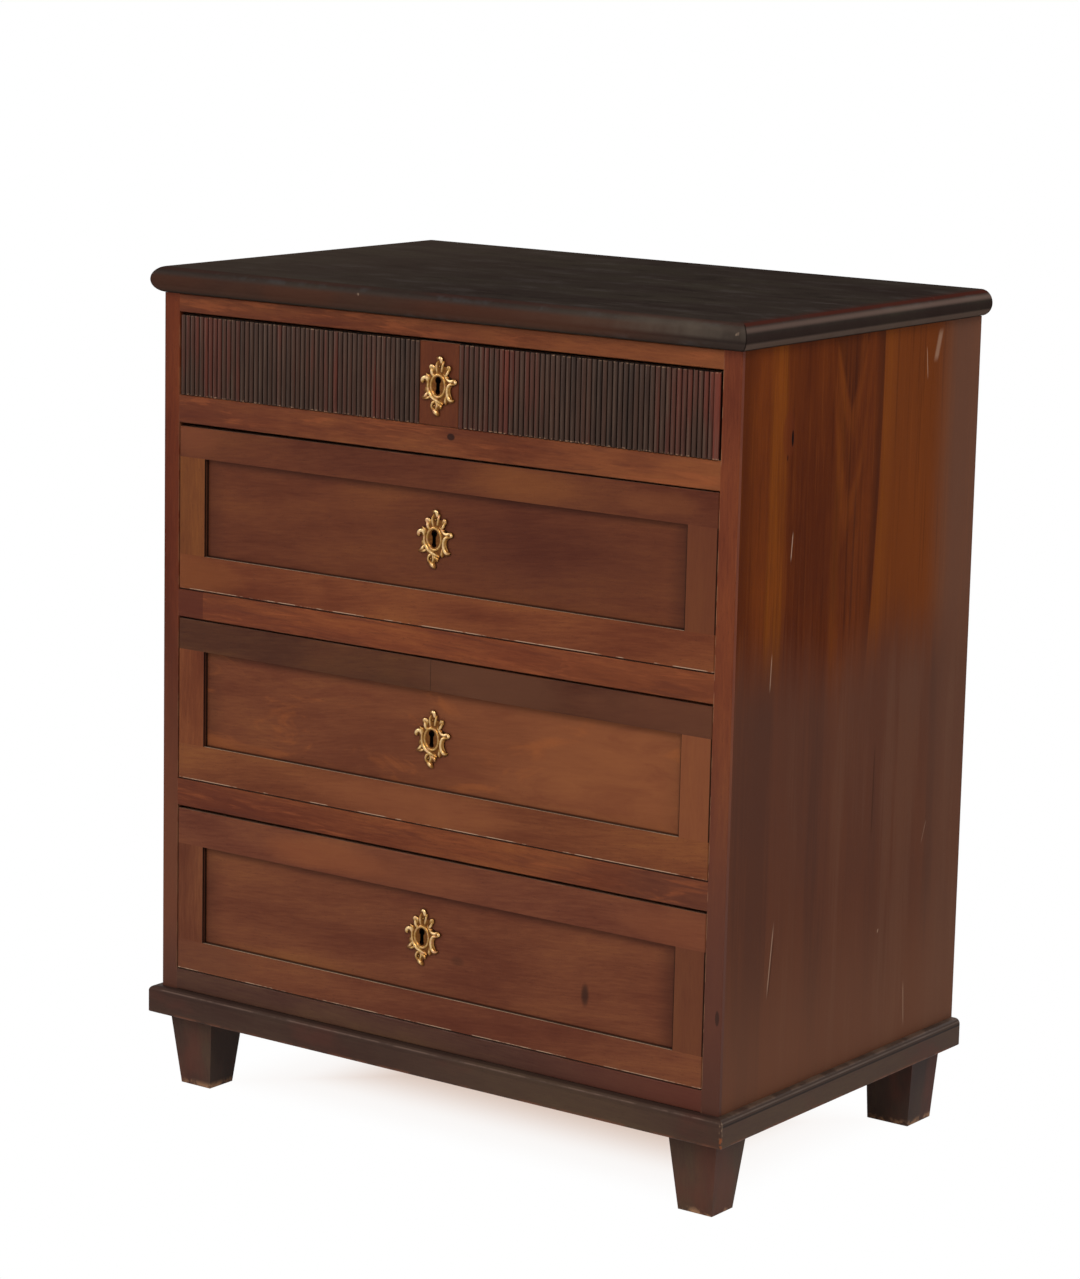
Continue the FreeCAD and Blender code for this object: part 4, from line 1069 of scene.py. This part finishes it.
def add_facings():
    finish = reed_wood()
    for side, ends in FACINGS.items():
        facing = reeded_facing(f"reeded_facing_{side}", *ends)
        dress(facing, finish)
        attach(facing, "drawer_1")
        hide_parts(f"drawer_1_reeding_{side}")


# Escutcheons

CASTING_HEIGHT = 3.4 * MM
PLATE_HEIGHT = 1.3 * MM
# Depth of the plate in the wood
SUNK = 0.02 * MM
PANEL_FACE = -210.05 * MM
BLOCK_FACE = -214.65 * MM
# Middle of drawer 2's escutcheon, whose plate they all share
MODEL_CENTRE = Vector((-1.0 * MM, PANEL_FACE, 619.5 * MM))
# Scrolls and leaves, in millimetres from the casting's middle: across, up, radius
SCROLLS = {
    "finial_leaf": (
        (-2.8, 25.4, 0.5), (-1.6, 27.4, 1.3), (0.8, 27.8, 1.9), (2.4, 25.4, 1.9), (2.2, 22.4, 1.3),
    ),
    "finial_right_edge": (
        (5.2, 24.8, 0.4), (4.6, 22.6, 1.1), (3.5, 20.2, 1.4), (3.0, 17.2, 1.3), (2.2, 13.8, 1.0),
    ),
    "finial_left_edge": (
        (-2.6, 23.8, 0.6), (-3.8, 21.2, 1.1), (-4.0, 18.6, 1.3), (-3.4, 15.6, 1.3), (-3.0, 12.4, 0.9),
    ),
    "left_shoulder_curl": (
        (-11.4, 15.2, 0.6), (-12.0, 17.4, 1.2), (-10.0, 19.4, 1.6),
        (-7.4, 18.6, 1.5), (-6.4, 16.2, 1.2), (-7.4, 13.8, 0.7),
    ),
    "left_shoulder_leaf": ((-9.8, 17.0, 1.0), (-9.6, 14.0, 1.7), (-8.8, 11.2, 1.6), (-7.0, 8.6, 1.0)),
    "right_shoulder_curl": (
        (12.4, 16.0, 0.6), (12.8, 18.4, 1.2), (11.2, 20.2, 1.4), (9.2, 18.8, 1.2), (8.6, 16.2, 0.8),
    ),
    "right_shoulder_leaf": ((11.4, 17.4, 0.9), (10.4, 14.4, 1.6), (8.8, 12.0, 1.5), (6.6, 10.2, 0.9)),
    "left_volute": (
        (-18.8, 1.8, 0.6), (-20.8, 1.8, 1.1), (-21.2, 4.2, 1.5), (-19.0, 6.6, 1.9),
        (-16.0, 7.4, 1.9), (-14.0, 5.4, 1.5), (-13.4, 2.0, 1.1),
    ),
    "left_volute_tip": ((-16.6, 11.2, 0.4), (-14.8, 10.2, 1.1), (-13.0, 8.2, 1.3), (-12.0, 5.0, 1.0)),
    "outer_ridge": (
        (-12.6, 6.4, 0.8), (-13.4, 2.4, 1.2), (-13.6, -2.0, 1.3), (-12.4, -6.6, 1.4), (-9.6, -10.6, 1.5),
        (-5.6, -13.2, 1.5), (-1.2, -14.6, 1.4), (2.6, -16.2, 1.2), (5.2, -17.6, 0.5),
    ),
    "right_arm": (
        (4.6, 12.4, 0.7), (7.6, 9.6, 1.2), (10.6, 6.8, 1.5),
        (14.0, 6.0, 1.6), (17.4, 7.6, 1.4), (19.8, 7.4, 0.9),
    ),
    "right_crescent": (
        (18.6, 3.4, 0.6), (15.2, 3.6, 1.2), (11.8, 2.6, 1.5), (10.2, -0.8, 1.5), (9.8, -5.0, 1.5),
        (10.8, -9.4, 1.6), (13.2, -12.4, 1.6), (16.4, -12.8, 1.2), (18.6, -11.2, 0.4),
    ),
    "right_crescent_edge": ((13.2, 0.8, 0.4), (12.6, -3.6, 0.9), (13.6, -7.6, 1.0), (15.8, -10.4, 0.5)),
    "right_foot_leaf": ((8.2, -8.8, 0.7), (8.4, -12.2, 1.3), (7.8, -15.0, 1.3), (8.8, -17.2, 0.4)),
    "left_lower_leaf": ((-11.8, -5.8, 0.8), (-14.2, -8.8, 1.6), (-16.8, -11.4, 1.4), (-19.6, -13.0, 0.4)),
    "left_lower_leaf_back": (
        (-9.6, -10.6, 0.9), (-12.6, -12.4, 1.4), (-15.4, -13.6, 1.0), (-17.4, -14.0, 0.4),
    ),
    "left_middle_leaf": ((-13.2, -1.0, 0.6), (-15.2, -3.2, 1.1), (-15.6, -5.6, 0.9), (-14.8, -7.6, 0.4)),
    "bottom_lobe_left": (
        (-3.4, -14.8, 0.9), (-6.8, -16.0, 1.3), (-8.4, -18.8, 1.3), (-8.2, -21.8, 1.2), (-6.6, -23.8, 0.8),
    ),
    "bottom_lobe_right": ((-3.6, -15.0, 0.9), (-1.6, -17.0, 1.4), (-2.0, -20.6, 1.3), (-3.2, -23.2, 1.0)),
    "bottom_barb": ((-1.2, -17.2, 0.9), (1.4, -18.6, 1.3), (3.2, -20.8, 1.0), (3.2, -22.4, 0.4)),
    "drop": ((-5.2, -23.2, 1.0), (-3.8, -25.2, 1.6), (-2.2, -27.2, 1.5), (-1.2, -28.8, 0.6)),
    "drop_edge": ((-6.8, -23.6, 0.7), (-5.6, -26.2, 1.1), (-3.8, -28.2, 0.6)),
}
# Beads of the casting: across, up, radius
BEADS = (
    (19.6, 5.6, 2.2), (0.6, 26.8, 1.8), (-10.2, 17.8, 1.7),
    (-19.6, 4.2, 1.7), (11.4, 18.8, 1.5), (-2.0, -27.4, 1.5),
)
OVAL_MIDDLE = (-1.6, 0.0)
OVAL_HALF = (8.6, 10.8)
OVAL_TUBE = 1.25
# Pins, with the ring round each
PINS = ((-0.4, 19.2), (-5.4, -19.8))
PIN_RING = 1.75
PIN_RADIUS = 1.25
# Keyhole: upper and lower circle (up, radius), and the waist between them
KEY_ACROSS = -1.8
KEY_HEAD = (5.2, 3.6)
KEY_BULB = (-6.0, 2.8)
KEY_WAIST = 4.3
# Depth of the keyhole's cutters
DEEP = 20 * MM
# Fineness with which the casting's parts are run together
MELT = 0.36 * MM
# By drawer: across, up, lean in degrees
ESCUTCHEONS = {1: (4.0, 770.1, 1.3), 2: (-1.0, 619.5, 0.0), 3: (0.0, 420.4, 0.0), 4: (-8.0, 218.1, 0.0)}
FRONT_ON = (math.pi / 2, 0, 0)


def scroll(name, points):
    """A tapering scroll or leaf."""
    curve = bpy.data.curves.new(name, "CURVE")
    curve.dimensions = "3D"
    curve.bevel_depth = MM
    curve.bevel_resolution = 3
    curve.resolution_u = 6
    curve.use_fill_caps = True
    line = curve.splines.new("NURBS")
    line.points.add(len(points) - 1)
    for point, (across, up, radius) in zip(line.points, points):
        point.co = (across * MM, -PLATE_HEIGHT - radius * 0.2 * MM, up * MM, 1)
        point.radius = radius * 1.12
    line.order_u = 3
    line.use_endpoint_u = True
    only(placed(name, curve))
    bpy.ops.object.convert(target="MESH")
    return bpy.context.object


def ball(across, up, radius, height, segments, rings):
    """A bead or a pin's head."""
    place = (across * MM, -height, up * MM)
    bpy.ops.mesh.primitive_uv_sphere_add(
        segments=segments, ring_count=rings, radius=radius * MM, location=place
    )
    return bpy.context.object


def rod(across, up, radius, depth, sides=32):
    """A round bar through the plate."""
    place = (across * MM, 0, up * MM)
    bpy.ops.mesh.primitive_cylinder_add(
        vertices=sides, radius=radius * MM, depth=depth, location=place, rotation=FRONT_ON
    )
    return bpy.context.object


def cut(piece, cutter):
    settled(cutter)
    carve = piece.modifiers.new("carve", "BOOLEAN")
    carve.operation = "DIFFERENCE"
    carve.solver = "EXACT"
    carve.object = cutter
    apply_all(piece)
    bpy.data.objects.remove(cutter)


def model_plate():
    """The scrolled plate without its keyhole."""
    plate = copied(nodes["drawer_2_escutcheon"], "plate")
    edit(plate)
    bpy.ops.mesh.remove_doubles(threshold=0.001 * MM)
    halved((0, 1, 0), (0, MODEL_CENTRE.y - SUNK, 0))
    halved((0, -1, 0), (0, MODEL_CENTRE.y - PLATE_HEIGHT, 0))
    shaped()
    plate.location = -MODEL_CENTRE
    settled(plate)
    middle = rod(*OVAL_MIDDLE, 1, PLATE_HEIGHT * 0.9, 48)
    middle.scale = (*OVAL_HALF, 1)
    middle.location.y = -PLATE_HEIGHT * 0.45 - SUNK
    settled(middle)
    return joined("plate", [plate, middle])


def model_oval():
    """The raised rim round the keyhole."""
    bpy.ops.mesh.primitive_torus_add(
        location=(OVAL_MIDDLE[0] * MM, -PLATE_HEIGHT - 0.2 * MM, OVAL_MIDDLE[1] * MM),
        rotation=FRONT_ON,
        major_segments=48,
        minor_segments=10,
        major_radius=OVAL_HALF[0] * MM,
        minor_radius=OVAL_TUBE * MM,
    )
    oval = bpy.context.object
    oval.scale = (1, OVAL_HALF[1] / OVAL_HALF[0], 1)
    return oval


def cut_keyhole(casting):
    for up, radius in (KEY_HEAD, KEY_BULB):
        cut(casting, rod(KEY_ACROSS, up, radius, DEEP))
    bpy.ops.mesh.primitive_cube_add(
        size=1,
        location=(KEY_ACROSS * MM, 0, (KEY_HEAD[0] + KEY_BULB[0]) / 2 * MM),
        scale=(KEY_WAIST * MM, DEEP, (KEY_HEAD[0] - KEY_BULB[0]) * MM),
    )
    cut(casting, bpy.context.object)


def model_casting():
    """The pierced plate with its scrolls, leaves and beads, run together round the origin."""
    parts = [model_plate(), model_oval()]
    parts += [scroll(name, points) for name, points in SCROLLS.items()]
    parts += [ball(*sizes, PLATE_HEIGHT, 16, 10) for sizes in BEADS]
    casting = joined("casting", parts)
    settled(casting)
    run = casting.modifiers.new("run_together", "REMESH")
    run.mode = "VOXEL"
    run.voxel_size = MELT
    soften = casting.modifiers.new("soften", "SMOOTH")
    soften.factor = 0.5
    soften.iterations = 3
    apply_all(casting)
    cut_keyhole(casting)
    for across, up in PINS:
        ring = rod(across, up, PIN_RING, PLATE_HEIGHT * 2, 24)
        ring.location.y = -PLATE_HEIGHT * 1.6
        cut(casting, ring)
    pins = [ball(*place, PIN_RADIUS, PLATE_HEIGHT * 0.75, 20, 12) for place in PINS]
    casting = joined("casting", [casting] + pins)
    settled(casting)
    bpy.ops.object.shade_smooth_by_angle(angle=math.radians(50))
    return casting


def add_escutcheons():
    panel_brass = gilt_brass("gilt_brass", PANEL_FACE)
    block_brass = gilt_brass("gilt_brass_top_drawer", BLOCK_FACE)
    casting = model_casting()
    for number, (across, up, lean) in ESCUTCHEONS.items():
        piece = copied(casting, f"gilt_escutcheon_{number}")
        piece.location = (across * MM, BLOCK_FACE if number == 1 else PANEL_FACE, up * MM)
        piece.rotation_euler = (0, math.radians(lean), 0)
        settled(piece)
        dress(piece, block_brass if number == 1 else panel_brass)
        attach(piece, f"drawer_{number}")
        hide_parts(f"drawer_{number}_escutcheon")
    bpy.data.objects.remove(casting)


# The scene

bpy.ops.object.select_all(action="DESELECT")
set_camera()
set_floor()
set_world()
for lamp in LAMPS:
    set_lamp(*lamp)
dress_woods()
dress_inside()
add_facings()
add_escutcheons()

bpy.context.scene.view_settings.view_transform = "Standard"
bpy.context.view_layer.update()
